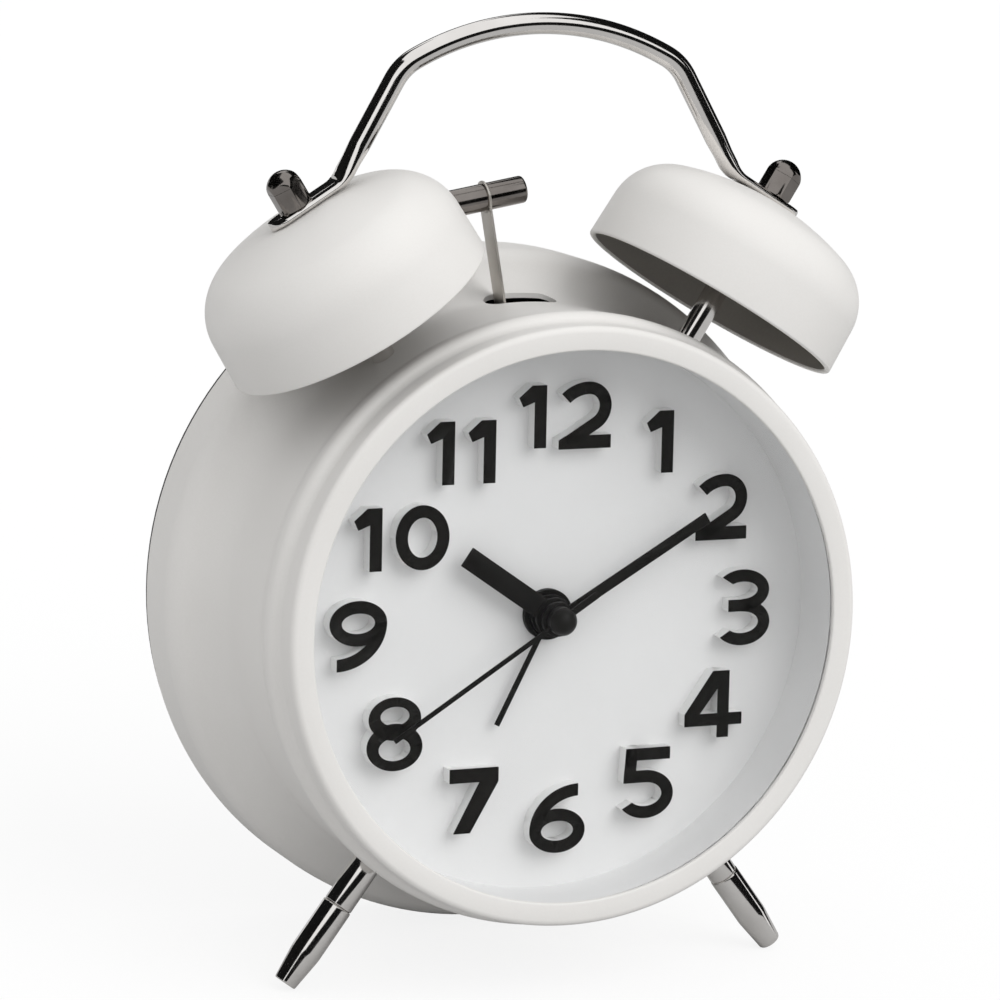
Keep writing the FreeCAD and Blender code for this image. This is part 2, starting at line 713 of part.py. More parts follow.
def make_third_wheel():
    """Third wheel and pinion between rotor and seconds wheel."""
    half = 180.0 / THIRD_PINION_TEETH
    pinion = gear(THIRD_PINION_TEETH, SECOND_MODULE, SECOND_WHEEL_Y - PINION_EXTRA, THIRD_WHEEL_Y,
                  0, THIRD_Z, 90 + half)
    wheel = gear(THIRD_TEETH, THIRD_MODULE, THIRD_WHEEL_Y, THIRD_WHEEL_Y + WHEEL_THICK, 0, THIRD_Z,
                 ROTOR_BEARING)
    arbor = rod(ARBOR_R, DIAL_BACK_Y + SEAT, MOVE_REAR_Y - SEAT, 0, THIRD_Z)
    return wheel.fuse(pinion).fuse(arbor).removeSplitter()


def make_rotor():
    """Magnet rotor with its pinion."""
    half = 180.0 / ROTOR_TEETH
    pinion = gear(ROTOR_TEETH, THIRD_MODULE, THIRD_WHEEL_Y - PINION_EXTRA, MAGNET_Y, ROTOR_X, ROTOR_Z,
                  180 + ROTOR_BEARING + half)
    magnet = rod(MAGNET_R, MAGNET_Y, MAGNET_Y + MAGNET_THICK, ROTOR_X, ROTOR_Z)
    arbor = rod(ARBOR_R, DIAL_BACK_Y + SEAT, MOVE_REAR_Y - SEAT, ROTOR_X, ROTOR_Z)
    return pinion.fuse(magnet).fuse(arbor).removeSplitter()


def shaft_bores(y0, y1):
    """The bearing holes for the four arbors beside the dial axis."""
    bores = [rod(SHAFT_R + RUN, y0, y1, -SET_X), rod(SHAFT_R + RUN, y0, y1, ALARM_SET_X)]
    bores.append(rod(ARBOR_R + RUN, y0, y1, 0, THIRD_Z))
    bores.append(rod(ARBOR_R + RUN, y0, y1, ROTOR_X, ROTOR_Z))
    return bores


def make_movement_housing():
    """Open tub with the front bush and the front bearings."""
    x = MOVE_HALF_X
    y1 = MOVE_REAR_Y - MOVE_WALL
    w = MOVE_WALL
    tub = block(-x, x, DIAL_BACK_Y, y1, MOVE_LOW_Z, MOVE_TOP_Z)
    tub = tub.cut(block(-x + w, x - w, DIAL_BACK_Y + w, y1, MOVE_LOW_Z + w, MOVE_TOP_Z - w))
    tub = tub.fuse(rod(BUSH_R, BUSH_FRONT_Y, DIAL_BACK_Y + w))
    tub = tub.cut(rod(BUSH_BORE_R, BUSH_FRONT_Y, DIAL_BACK_Y + w))
    for bore in shaft_bores(DIAL_BACK_Y, DIAL_BACK_Y + w):
        tub = tub.cut(bore)
    return tub.removeSplitter()


def make_movement_cover():
    """Rear plate of the movement with the rear bearings."""
    y0 = MOVE_REAR_Y - MOVE_WALL
    x = MOVE_HALF_X
    plate = block(-x, x, y0, MOVE_REAR_Y, MOVE_LOW_Z, MOVE_TOP_Z)
    for bore in shaft_bores(y0, MOVE_REAR_Y):
        plate = plate.cut(bore)
    return plate.cut(rod(SECOND_ARBOR_R + RUN, y0, MOVE_REAR_Y))


def stator_y():
    """Front and back of the stator sheet, centred on the rotor magnet."""
    middle = MAGNET_Y + MAGNET_THICK / 2
    return middle - STATOR_THICK / 2, middle + STATOR_THICK / 2


def make_stator():
    """Soft iron frame round the rotor, with legs down to the coil."""
    y0, y1 = stator_y()
    x = STATOR_HALF_X
    top = ROTOR_Z + STATOR_RISE
    bar = block(-x, x, y0, y1, ROTOR_Z - STATOR_RISE, top)
    core = COIL_Z - STATOR_THICK
    left = block(-x, -x + STATOR_LEG, y0, y1, core, top)
    right = block(x - STATOR_LEG, x, y0, y1, core, top)
    yoke = block(-x, x, y0, y1, core, COIL_Z + STATOR_THICK)
    bar = bar.fuse(left).fuse(right).fuse(yoke)
    return bar.cut(rod(MAGNET_R + STATOR_GAP, y0, y1, ROTOR_X, ROTOR_Z)).removeSplitter()


def make_stepper_coil():
    """Bobbin and winding on the stator's lower bar."""
    y0, y1 = stator_y()
    middle = (y0 + y1) / 2
    half = COIL_LENGTH / 2
    coil = Part.makeCylinder(COIL_R, COIL_LENGTH, V(-half, middle, COIL_Z), V(1, 0, 0))
    bore = block(-half, half, y0, y1, COIL_Z - STATOR_THICK, COIL_Z + STATOR_THICK)
    return coil.cut(bore)


def make_circuit_board():
    """Board on the movement's floor with one sealed chip."""
    z = MOVE_LOW_Z + MOVE_WALL
    y0 = DIAL_BACK_Y + MOVE_WALL
    y1 = MOVE_REAR_Y - MOVE_WALL
    board = block(-MOVE_HALF_X + 5, MOVE_HALF_X - 5, y0 + 2, y1 - 1, z, z + BOARD_THICK)
    chip = block(-3, 3, y0 + 3.5, y0 + 9.5, z + BOARD_THICK, z + BOARD_THICK + 1)
    return board.fuse(chip).removeSplitter()


def make_rear_cover():
    """Black cover: rim, sunk field, skirt, battery bay and the holes for knobs and screws."""
    back = COVER_BACK_Y
    skirt_r = FLANGE_R - WALL - SEAT
    outline = chain([
        (0, FIELD_FRONT_Y), (skirt_r - COVER_SKIRT, FIELD_FRONT_Y),
        (skirt_r - COVER_SKIRT, COVER_SKIRT_Y), (skirt_r, COVER_SKIRT_Y), (skirt_r, CASE_END_Y),
        (COVER_R, CASE_END_Y), (COVER_R, back - COVER_EDGE),
    ])
    outline += broken_edge(COVER_R, back, COVER_EDGE, -1)
    outline += chain([
        (COVER_R - COVER_EDGE, back), (COVER_FIELD_R, back),
        (COVER_FIELD_R - COVER_FIELD_DROP, FIELD_Y), (0, FIELD_Y), (0, FIELD_FRONT_Y),
    ])
    cover = spun(Part.__sortEdges__(outline))
    w = BAY_WALL
    x = BAY_HALF_X
    front = FIELD_Y - BAY_DEPTH
    cover = cover.fuse(block(-x - w, x + w, front - w, FIELD_Y, BAY_LOW_Z - w, BAY_TOP_Z + w))
    cover = cover.cut(block(-x, x, front, back, BAY_LOW_Z, BAY_TOP_Z))
    ledge = FIELD_Y - DOOR_THICK - SEAT
    cover = cover.cut(block(-x - w, x + w, ledge, back, BAY_LOW_Z - w, BAY_TOP_Z + w))
    for side_x in (-SET_X, ALARM_SET_X):
        cover = cover.cut(rod(SHAFT_R + FREE, FIELD_FRONT_Y, back, side_x))
    for bx in (-DIAL_BOSS_X, DIAL_BOSS_X):
        for bz in (-DIAL_BOSS_Z, DIAL_BOSS_Z):
            cover = cover.cut(rod(SCREW_CORE_R + 0.35, FIELD_FRONT_Y - 1, back, bx, bz))
            cover = cover.cut(rod(SCREW_HEAD_R + SEAT, FIELD_Y - SCREW_HEAD, back, bx, bz))
            cover = cover.cut(rod(DIAL_BOSS_R + SEAT, FIELD_FRONT_Y - 1, DIAL_BOSS_END_Y, bx, bz))
    slot = switch_slot()
    return cover.cut(slot).removeSplitter()


def switch_slot():
    """The opening that the alarm switch's button moves in."""
    half = SWITCH_WIDTH / 2 - 0.8 + DOOR_GAP
    reach = SWITCH_LENGTH / 2 - 0.8 + DOOR_GAP
    return block(-reach - SWITCH_TRAVEL / 2, reach + SWITCH_TRAVEL / 2, FIELD_FRONT_Y, COVER_BACK_Y,
                 SWITCH_Z - half, SWITCH_Z + half)


def make_switch_button():
    """Alarm on and off button: a ribbed cap outside and a neck through the slot."""
    x0 = -SWITCH_TRAVEL / 2 - SWITCH_LENGTH / 2
    x1 = x0 + SWITCH_LENGTH
    half = SWITCH_WIDTH / 2
    y0 = FIELD_Y + SEAT
    cap = block(x0, x1, y0, y0 + SWITCH_RISE, SWITCH_Z - half, SWITCH_Z + half)
    neck = block(x0 + 0.8, x1 - 0.8, FIELD_FRONT_Y - 1.6, y0, SWITCH_Z - half + 0.8,
                 SWITCH_Z + half - 0.8)
    button = cap.fuse(neck)
    for k in range(3):
        x = x0 + SWITCH_LENGTH * (k + 1) / 4
        groove = block(x - 0.3, x + 0.3, y0 + SWITCH_RISE - 0.5, y0 + SWITCH_RISE,
                       SWITCH_Z - half, SWITCH_Z + half)
        button = button.cut(groove)
    return button.removeSplitter()


def make_switch_body():
    """Contact block behind the cover that the button slides in."""
    half = SWITCH_WIDTH / 2 + 1.2
    reach = SWITCH_LENGTH / 2 + SWITCH_TRAVEL / 2 + 1.5
    y0 = FIELD_FRONT_Y - 4.5
    body = block(-reach, reach, y0, FIELD_FRONT_Y, SWITCH_Z - half, SWITCH_Z + half)
    track = SWITCH_LENGTH / 2 + SWITCH_TRAVEL / 2 - 0.8 + DOOR_GAP
    inner = SWITCH_WIDTH / 2 - 0.8 + DOOR_GAP
    return body.cut(block(-track, track, FIELD_FRONT_Y - 1.9, FIELD_FRONT_Y, SWITCH_Z - inner,
                          SWITCH_Z + inner))


def make_knob(x):
    """Ribbed setting knob with a hollow for the shaft's end."""
    y0 = FIELD_Y + KNOB_GAP
    y1 = y0 + KNOB_HEIGHT
    c = 0.6
    outline = [
        line((0, y0), (KNOB_R, y0)), line((KNOB_R, y0), (KNOB_R, y1 - c)),
        line((KNOB_R, y1 - c), (KNOB_R - c, y1)), line((KNOB_R - c, y1), (KNOB_R - 2.2, y1)),
        line((KNOB_R - 2.2, y1), (KNOB_R - 2.8, y1 - 0.6)),
        line((KNOB_R - 2.8, y1 - 0.6), (0, y1 - 0.6)), line((0, y1 - 0.6), (0, y0)),
    ]
    knob = spun(outline)
    for k in range(KNOB_RIBS):
        a = 2 * math.pi * k / KNOB_RIBS
        groove = rod(KNOB_RIB_R, y0, y1, KNOB_R * math.cos(a), KNOB_R * math.sin(a))
        knob = knob.cut(groove)
    knob = knob.cut(rod(SHAFT_R, y0, COVER_BACK_Y + KNOB_HEIGHT / 2))
    knob.translate(V(x, 0, 0))
    return knob


def make_cover_screws():
    """Four pan-head screws from the cover into the dial's bosses."""
    screws = []
    seat = FIELD_Y - SCREW_HEAD
    for x in (-DIAL_BOSS_X, DIAL_BOSS_X):
        for z in (-DIAL_BOSS_Z, DIAL_BOSS_Z):
            head = rod(SCREW_HEAD_R, seat, FIELD_Y - 0.2, x, z)
            shank = rod(SCREW_CORE_R, seat - SCREW_LENGTH + 2, seat, x, z)
            screw = head.fuse(shank)
            for reach_x, reach_z in ((1.5, 0.3), (0.3, 1.5)):
                screw = screw.cut(block(x - reach_x, x + reach_x, FIELD_Y - 0.8, FIELD_Y,
                                        z - reach_z, z + reach_z))
            screws.append(screw.removeSplitter())
    return Part.makeCompound(screws)


def door_hinge():
    """Place of the battery door's hinge line in the case frame: (y, z)."""
    return FIELD_Y - DOOR_THICK / 2, BAY_LOW_Z - BAY_WALL + DOOR_GAP + DOOR_THICK / 2


def make_battery_door():
    """Door plate with a rounded lower edge to tip about and a finger groove at its top."""
    x = BAY_HALF_X + BAY_WALL - DOOR_GAP
    hinge_y, hinge_z = door_hinge()
    top = BAY_TOP_Z + BAY_WALL - DOOR_GAP
    y0 = FIELD_Y - DOOR_THICK
    plate = block(-x, x, y0, FIELD_Y, hinge_z, top)
    edge = Part.makeCylinder(DOOR_THICK / 2, 2 * x, V(-x, hinge_y, hinge_z), V(1, 0, 0))
    plate = plate.fuse(edge)
    for k in range(3):
        z = top - 3.0 - 1.6 * k
        plate = plate.cut(block(-7, 7, FIELD_Y - 0.4, FIELD_Y, z - 0.4, z + 0.4))
    return plate.removeSplitter()


def make_cells():
    """Two AA cells side by side, the second turned round."""
    cells = []
    for k in range(2):
        z = BAY_TOP_Z - CELL_PITCH * (k + 0.5)
        side = 1 if k == 0 else -1
        body = Part.makeCylinder(CELL_R, CELL_LENGTH - CELL_NUB, V(-side * CELL_LENGTH / 2, CELL_Y, z),
                                 V(side, 0, 0))
        nub = Part.makeCylinder(CELL_NUB_R, CELL_LENGTH, V(-side * CELL_LENGTH / 2, CELL_Y, z),
                                V(side, 0, 0))
        cells.append(body.fuse(nub).removeSplitter())
    return Part.makeCompound(cells)


def make_contact_plates():
    """Flat contacts at both ends of the bay."""
    plates = []
    for side in (-1, 1):
        x = side * BAY_HALF_X
        for k in range(2):
            z = BAY_TOP_Z - CELL_PITCH * (k + 0.5)
            x0 = min(x, x - side * CONTACT_THICK)
            plates.append(block(x0, x0 + CONTACT_THICK, CELL_Y - CONTACT_HALF, CELL_Y + CONTACT_HALF,
                                z - CONTACT_HALF, z + CONTACT_HALF))
    return Part.makeCompound(plates)


def make_contact_springs():
    """Cone springs, drawn as stepped rings, at the flat end of each cell."""
    springs = []
    for k in range(2):
        z = BAY_TOP_Z - CELL_PITCH * (k + 0.5)
        side = -1 if k == 0 else 1
        outer = side * (BAY_HALF_X - CONTACT_THICK)
        inner = side * CELL_LENGTH / 2
        length = abs(outer - inner)
        cone = Part.makeCone(SPRING_FOOT_R, SPRING_TOP_R, length, V(outer, CELL_Y, z), V(-side, 0, 0))
        bore = Part.makeCone(SPRING_FOOT_R - SPRING_WIRE, SPRING_TOP_R - SPRING_WIRE, length,
                             V(outer, CELL_Y, z), V(-side, 0, 0))
        springs.append(cone.cut(bore))
    return Part.makeCompound(springs)


def bell_curve(inset):
    """One side of the bell's wall: straight skirt, round shoulder and shallow dome.

    With an inset it is the inner side, where the arcs are short cones.
    """
    rs = BELL_SHOULDER_R - inset
    cx = BELL_SHOULDER_C
    cz = BELL_SHOULDER_Z
    top = BELL_HEIGHT + 0.25
    drop = top - cz
    dome = (BELL_SHOULDER_R ** 2 - cx ** 2 - drop ** 2) / (2 * (BELL_SHOULDER_R - drop))
    rd = dome - inset
    dome_z = top - dome
    slope = math.asin((BELL_RIM_R - cx - BELL_SHOULDER_R) / cz)
    meet = math.atan2(cz - dome_z, cx)

    def shoulder(a):
        return (cx + rs * math.cos(a), cz + rs * math.sin(a))

    foot = (shoulder(slope)[0] + shoulder(slope)[1] * math.tan(slope), 0.0)
    seat_z = BELL_HEIGHT - inset
    seat_r = math.sqrt(rd ** 2 - (seat_z - dome_z) ** 2)
    crown_angle = (meet + math.acos(seat_r / rd)) / 2
    crown = (rd * math.cos(crown_angle), dome_z + rd * math.sin(crown_angle))
    skirt = line(foot, shoulder(slope))
    seat = line((seat_r, seat_z), (0, seat_z))
    if inset:
        turns = [slope + (meet - slope) * k / 4 for k in range(5)]
        inside = chain([shoulder(a) for a in turns] + [crown, (seat_r, seat_z)])
        return [skirt] + inside + [seat], foot
    bow = arc(shoulder(slope), shoulder((slope + meet) / 2), shoulder(meet))
    return [skirt, bow, arc(shoulder(meet), crown, (seat_r, seat_z)), seat], foot


def make_bell(side):
    """Pressed bell with a flat seat and a hole at its crown."""
    outer, outer_foot = bell_curve(0)
    inner, inner_foot = bell_curve(BELL_WALL)
    edges = outer + inner
    edges.append(line(outer_foot, inner_foot))
    edges.append(line((0, BELL_HEIGHT), (0, BELL_HEIGHT - BELL_WALL)))
    bell = spun(Part.__sortEdges__(edges))
    bell.rotate(V(0, 0, 0), V(1, 0, 0), 90)
    bell.translate(V(0, 0, BELL_RIM_D))
    bell = bell.cut(upright(STUD_R + SEAT, BELL_RIM_D, BELL_TOP_D + 1))
    return radial(bell, side * BELL_ANGLE, BELL_Y)


def make_bell_post(side):
    """Post between case and bell, with a thinner stud at each end."""
    post = upright(POST_R, WAIST_R, BELL_TOP_D - BELL_WALL)
    low = WAIST_R - WALL - POST_NUT_THICK - 0.6
    stud = upright(STUD_R, low, NUT_D + NUT_HEX - 0.4)
    return radial(post.fuse(stud).removeSplitter(), side * BELL_ANGLE, BELL_Y)


def make_post_nut(side):
    """Hex nut that clamps the post from inside the case."""
    top = WAIST_R - WALL - SEAT
    nut = hexagon(POST_NUT_ACROSS, top - POST_NUT_THICK, top)
    nut = nut.cut(upright(STUD_R, top - POST_NUT_THICK, top))
    return radial(nut, side * BELL_ANGLE, BELL_Y)


def make_acorn_nut(side):
    """Domed hex nut over the handle's tab."""
    corner = NUT_ACROSS / math.sqrt(3)
    z_turn = NUT_D + NUT_HEX
    sides = hexagon(NUT_ACROSS, NUT_D, z_turn + NUT_DOME)
    ball = (corner ** 2 + NUT_DOME ** 2) / (2 * NUT_DOME)
    dome = Part.makeSphere(ball, V(0, 0, z_turn + NUT_DOME - ball))
    dome = dome.fuse(upright(corner, NUT_D, z_turn))
    nut = sides.common(dome)
    nut = nut.cut(upright(STUD_R, NUT_D, NUT_D + NUT_HEX - 0.4))
    return radial(nut, side * BELL_ANGLE, BELL_Y)


def handle_corners():
    """Corner points of the right half of the handle in the plane of the bells, (x, z)."""
    a = math.radians(BELL_ANGLE)
    d = TAB_D + TAB_THICK / 2
    nut = (d * math.sin(a), d * math.cos(a))
    along = (-math.cos(a), math.sin(a))
    end = (nut[0] - TAB_OVERHANG * along[0], nut[1] - TAB_OVERHANG * along[1])
    foot = (nut[0] + HANDLE_TAB_RUN * along[0], nut[1] + HANDLE_TAB_RUN * along[1])
    shoulder = (foot[0] - HANDLE_LEG_IN, foot[1] + HANDLE_LEG_RISE)
    return end, nut, foot, shoulder


def unit(a, b):
    """Direction from a to b in the plane of the bells."""
    length = math.hypot(b[0] - a[0], b[1] - a[1])
    return ((b[0] - a[0]) / length, (b[1] - a[1]) / length)


def section(center, along, width, thick):
    """Closed outline of the bar across its run: straight sides with rounded corners."""
    corner = thick / 2 * 0.98
    ux = V(0, 1, 0)
    uz = V(-along[1], 0, along[0])
    c = V(center[0], 0, center[1])
    hw = width / 2
    ht = thick / 2
    k = corner * (1 - math.sqrt(0.5))

    def at(p, q):
        return c + ux * p + uz * q

    edges = []
    for sp, sq in ((1, 1), (-1, 1), (-1, -1), (1, -1)):
        if sp * sq > 0:
            a = at(sp * hw, sq * (ht - corner))
            b = at(sp * (hw - corner), sq * ht)
            nxt = at(-sp * (hw - corner), sq * ht)
        else:
            a = at(sp * (hw - corner), sq * ht)
            b = at(sp * hw, sq * (ht - corner))
            nxt = at(sp * hw, -sq * (ht - corner))
        edges.append(Part.Arc(a, at(sp * (hw - k), sq * (ht - k)), b).toShape())
        edges.append(Part.makeLine(b, nxt))
    return Part.Wire(edges)


def make_handle():
    """Round bar bent over the bells, with its ends beaten flat for the nuts."""
    end, nut, foot, shoulder = handle_corners()
    flat = unit(end, foot)
    rise = unit(foot, shoulder)
    turn = math.acos(flat[0] * rise[0] + flat[1] * rise[1])
    cut_back = HANDLE_LOW_BEND * math.tan(turn / 2)
    start = (foot[0] - flat[0] * cut_back, foot[1] - flat[1] * cut_back)
    stop = (foot[0] + rise[0] * cut_back, foot[1] + rise[1] * cut_back)
    bend = unit((0, 0), (flat[0] + rise[0], flat[1] + rise[1]))
    sag = HANDLE_LOW_BEND * (1 / math.cos(turn / 2) - 1)
    middle = (foot[0] + bend[1] * sag, foot[1] - bend[0] * sag)
    bar = 2 * HANDLE_ROD_R
    half = (stop[0] + rise[0] * 2.0, stop[1] + rise[1] * 2.0)
    full = (stop[0] + rise[0] * 5.0, stop[1] + rise[1] * 5.0)
    tab = Part.makeLoft([
        section(end, flat, TAB_WIDTH, TAB_THICK), section(start, flat, TAB_WIDTH, TAB_THICK),
    ], True)
    neck = Part.makeLoft([
        section(start, flat, TAB_WIDTH, TAB_THICK),
        section(middle, bend, TAB_WIDTH * 0.97, TAB_THICK * 1.35),
        section(stop, rise, TAB_WIDTH * 0.86, TAB_THICK * 1.9),
        section(half, rise, bar * 1.12, bar * 0.87),
        section(full, rise, bar, bar),
    ], True)
    reach = TAB_OVERHANG - TAB_WIDTH / 2
    tip = Part.makeCylinder(TAB_WIDTH / 2, TAB_THICK, V(reach, 0, TAB_D))
    tip.rotate(V(0, 0, 0), V(0, 1, 0), BELL_ANGLE)
    hole = upright(STUD_R + SEAT, TAB_D - 1, NUT_D + 1)
    hole.rotate(V(0, 0, 0), V(0, 1, 0), BELL_ANGLE)
    back = 2 * HANDLE_TAB_RUN
    keep = Part.makeBox(back, TAB_WIDTH + 2, TAB_THICK + 2, V(reach - back, -TAB_WIDTH / 2 - 1, TAB_D - 1))
    keep.rotate(V(0, 0, 0), V(0, 1, 0), BELL_ANGLE)
    right = tab.common(keep).fuse(tip).fuse(neck).cut(hole)
    for piece in arch_half(full, rise, shoulder):
        right = right.fuse(piece)
    handle = right.fuse(right.mirror(V(0, 0, 0), V(1, 0, 0))).removeSplitter()
    handle.translate(V(0, BELL_Y, 0))
    return handle


def arch_half(full, rise, shoulder):
    """The round bar's right half: a straight leg, a bend and half of the shallow arch."""
    top_z = shoulder[1] + HANDLE_CROWN_RISE
    drop = HANDLE_CROWN_RISE
    arch_r = (shoulder[0] ** 2 + drop ** 2) / (2 * drop)
    arch_z = top_z - arch_r
    r = HANDLE_HIGH_BEND
    ox = full[0] - rise[1] * r
    oz = full[1] + rise[0] * r - arch_z
    b = ox * rise[0] + oz * rise[1]
    run = -b + math.sqrt(b ** 2 - ox ** 2 - oz ** 2 + (arch_r - r) ** 2)
    cx = ox + run * rise[0]
    cz = oz + run * rise[1]
    leg = Part.makeCylinder(HANDLE_ROD_R, run, V(full[0], 0, full[1]), V(rise[0], 0, rise[1]))
    over = math.degrees(math.atan2(cx, cz))
    start = math.degrees(math.atan2(rise[1], -rise[0]))
    begin = V(cx + r * rise[1], 0, cz + arch_z - r * rise[0])
    ring = Part.Face(Part.Wire(Part.makeCircle(HANDLE_ROD_R, begin, V(rise[0], 0, rise[1]))))
    bend = ring.revolve(V(cx, 0, cz + arch_z), V(0, -1, 0), start - over)
    crown = Part.Face(Part.Wire(Part.makeCircle(HANDLE_ROD_R, V(0, 0, top_z), V(1, 0, 0))))
    arch = crown.revolve(V(0, 0, arch_z), V(0, 1, 0), over)
    return leg, bend, arch


def make_leg_collar(side):
    """Short bush between case and foot, with the leg's stud."""
    bush = upright(LEG_COLLAR_R, WAIST_R, LEG_JOINT_D)
    stud = upright(LEG_STUD_R, WAIST_R - WALL - LEG_NUT_THICK - SEAT, LEG_JOINT_D + LEG_TAPER)
    return radial(bush.fuse(stud).removeSplitter(), side * LEG_ANGLE, LEG_Y)


def make_leg_foot(side):
    """Turned foot: straight body, long taper and a flat tip with a broken edge."""
    c = 0.35
    taper_d = LEG_TIP_D - LEG_TAPER
    outline = [
        line((0, LEG_JOINT_D), (LEG_FOOT_R - c, LEG_JOINT_D)),
        line((LEG_FOOT_R - c, LEG_JOINT_D), (LEG_FOOT_R, LEG_JOINT_D + c)),
        line((LEG_FOOT_R, LEG_JOINT_D + c), (LEG_FOOT_R, taper_d)),
        line((LEG_FOOT_R, taper_d), (LEG_TIP_R + c / 2, LEG_TIP_D - c)),
        line((LEG_TIP_R + c / 2, LEG_TIP_D - c), (LEG_TIP_R, LEG_TIP_D)),
        line((LEG_TIP_R, LEG_TIP_D), (0, LEG_TIP_D)),
        line((0, LEG_TIP_D), (0, LEG_JOINT_D)),
    ]
    foot = spun(outline)
    foot.rotate(V(0, 0, 0), V(1, 0, 0), 90)
    foot = foot.cut(upright(LEG_STUD_R, LEG_JOINT_D, LEG_JOINT_D + LEG_TAPER))
    return radial(foot, side * LEG_ANGLE, LEG_Y)


def make_leg_nut(side):
    """Thin hex nut on the leg's stud inside the case."""
    top = WAIST_R - WALL - SEAT
    nut = hexagon(LEG_NUT_ACROSS, top - LEG_NUT_THICK, top)
    nut = nut.cut(upright(LEG_STUD_R, top - LEG_NUT_THICK, top))
    return radial(nut, side * LEG_ANGLE, LEG_Y)


def hammer_pose(shape):
    """Leans a piece drawn straight up from the pivot to the hammer's rest position."""
    shape.rotate(V(0, 0, 0), V(0, 1, 0), HAMMER_LEAN)
    shape.translate(V(0, HAMMER_Y, PIVOT_Z))
    return shape


def make_hammer_arm():
    """Steel strip with its hub at the pivot, a strap round the head and a tail to the magnet."""
    half = STRAP_WIDTH / 2
    strap_r = HEAD_R + STRAP_THICK
    r = HAMMER_RADIUS
    strip = block(-half, half, -ARM_THICK / 2, ARM_THICK / 2, -MAGNET_DROP + MAGNET_HALF,
                  r - HEAD_R - STRAP_THICK / 2)
    hub = rod(HUB_R, -HUB_LENGTH / 2, HUB_LENGTH / 2)
    strap = Part.makeCylinder(strap_r, STRAP_WIDTH, V(-half, 0, r), V(1, 0, 0))
    strap = strap.cut(Part.makeCylinder(HEAD_R, STRAP_WIDTH, V(-half, 0, r), V(1, 0, 0)))
    arm = strip.fuse(hub).fuse(strap)
    arm = arm.cut(rod(PIVOT_R + RUN, -HUB_LENGTH / 2, HUB_LENGTH / 2))
    return hammer_pose(arm.removeSplitter())


def make_hammer_head():
    """Solid round striker with broken edges."""
    c = 0.4
    half = HEAD_LENGTH / 2
    head = Part.makeCylinder(HEAD_R, HEAD_LENGTH - 2 * c, V(-half + c, 0, HAMMER_RADIUS), V(1, 0, 0))
    for side in (-1, 1):
        end = Part.makeCone(HEAD_R, HEAD_R - c, c, V(side * (half - c), 0, HAMMER_RADIUS), V(side, 0, 0))
        head = head.fuse(end)
    return hammer_pose(head.removeSplitter())


def make_hammer_magnet():
    """Bar magnet on the hammer's tail."""
    z = -MAGNET_DROP
    return hammer_pose(block(-MAGNET_HALF_X, MAGNET_HALF_X, -MAGNET_HALF, MAGNET_HALF,
                             z - MAGNET_HALF, z + MAGNET_HALF))


def make_striker_frame():
    """Folded bracket on top of the movement: base and two cheeks for the pivot pin."""
    t = 1.0
    y0 = HUB_FRONT_Y - 0.2 - t
    y1 = HAMMER_Y + HUB_LENGTH / 2 + 0.2 + t
    x = POLE_X + 2.4
    base = block(-x, x, y0, y1, MOVE_TOP_Z, MOVE_TOP_Z + t)
    frame = base
    for y in (y0, y1 - t):
        cheek = Part.makePolygon([
            V(-x, y, MOVE_TOP_Z), V(x, y, MOVE_TOP_Z), V(3.2, y, PIVOT_Z + 2.4),
            V(-3.2, y, PIVOT_Z + 2.4), V(-x, y, MOVE_TOP_Z),
        ])
        frame = frame.fuse(Part.Face(cheek).extrude(V(0, t, 0)))
    return frame.cut(rod(PIVOT_R, y0, y1, 0, PIVOT_Z)).removeSplitter()


def make_hammer_pivot():
    """Pin through both cheeks that the hammer turns on."""
    reach = HUB_LENGTH / 2 + 1.7
    return rod(PIVOT_R, HAMMER_Y - reach, HAMMER_Y + reach, 0, PIVOT_Z)


def drive_coil_z():
    """Height of the striker coil's axis."""
    return MOVE_TOP_Z + 1.0 + DRIVE_COIL_R


def make_striker_core():
    """Iron core of the striker coil with a pole plate each side of the magnet."""
    z = drive_coil_z()
    half = DRIVE_COIL_LENGTH / 2
    core = Part.makeCylinder(DRIVE_CORE_R, 2 * half, V(-half, HAMMER_Y, z), V(1, 0, 0))
    for side in (-1, 1):
        x0 = half if side > 0 else -half - POLE_THICK
        core = core.fuse(block(x0, x0 + POLE_THICK, HAMMER_Y - POLE_HALF, HAMMER_Y + POLE_HALF, MOVE_TOP_Z + 1.0,
                               PIVOT_Z - MAGNET_DROP + MAGNET_HALF))
    return core.removeSplitter()


def make_striker_coil():
    """Winding of the striker on its core."""
    z = drive_coil_z()
    half = DRIVE_COIL_LENGTH / 2
    coil = Part.makeCylinder(DRIVE_COIL_R, 2 * half, V(-half, HAMMER_Y, z), V(1, 0, 0))
    return coil.cut(Part.makeCylinder(DRIVE_CORE_R, 2 * half, V(-half, HAMMER_Y, z), V(1, 0, 0)))


def lean_angle():
    """Angle at which the feet's lowest edge and the cover's rim touch one flat table."""
    a = math.radians(LEG_ANGLE)
    foot_y = LEG_Y
    foot_z = LEG_TIP_D * math.cos(a) - LEG_TIP_R * math.sin(a)
    rim_y = CASE_END_Y
    rim_z = -FLANGE_R
    return math.degrees(math.atan2(rim_z - foot_z, rim_y - foot_y)), foot_y, foot_z


def place(pieces):
    """Leans all pieces back onto the table and centres them over the origin."""
    lean, foot_y, foot_z = lean_angle()
    for shape in pieces.values():
        shape.rotate(V(0, 0, 0), V(1, 0, 0), -lean)
    boxes = [shape.optimalBoundingBox(False) for shape in pieces.values()]
    floor = min(box.ZMin for box in boxes)
    middle_y = (min(box.YMin for box in boxes) + max(box.YMax for box in boxes)) / 2
    for shape in pieces.values():
        shape.translate(V(0, -middle_y, -floor))
    return lean, middle_y, floor


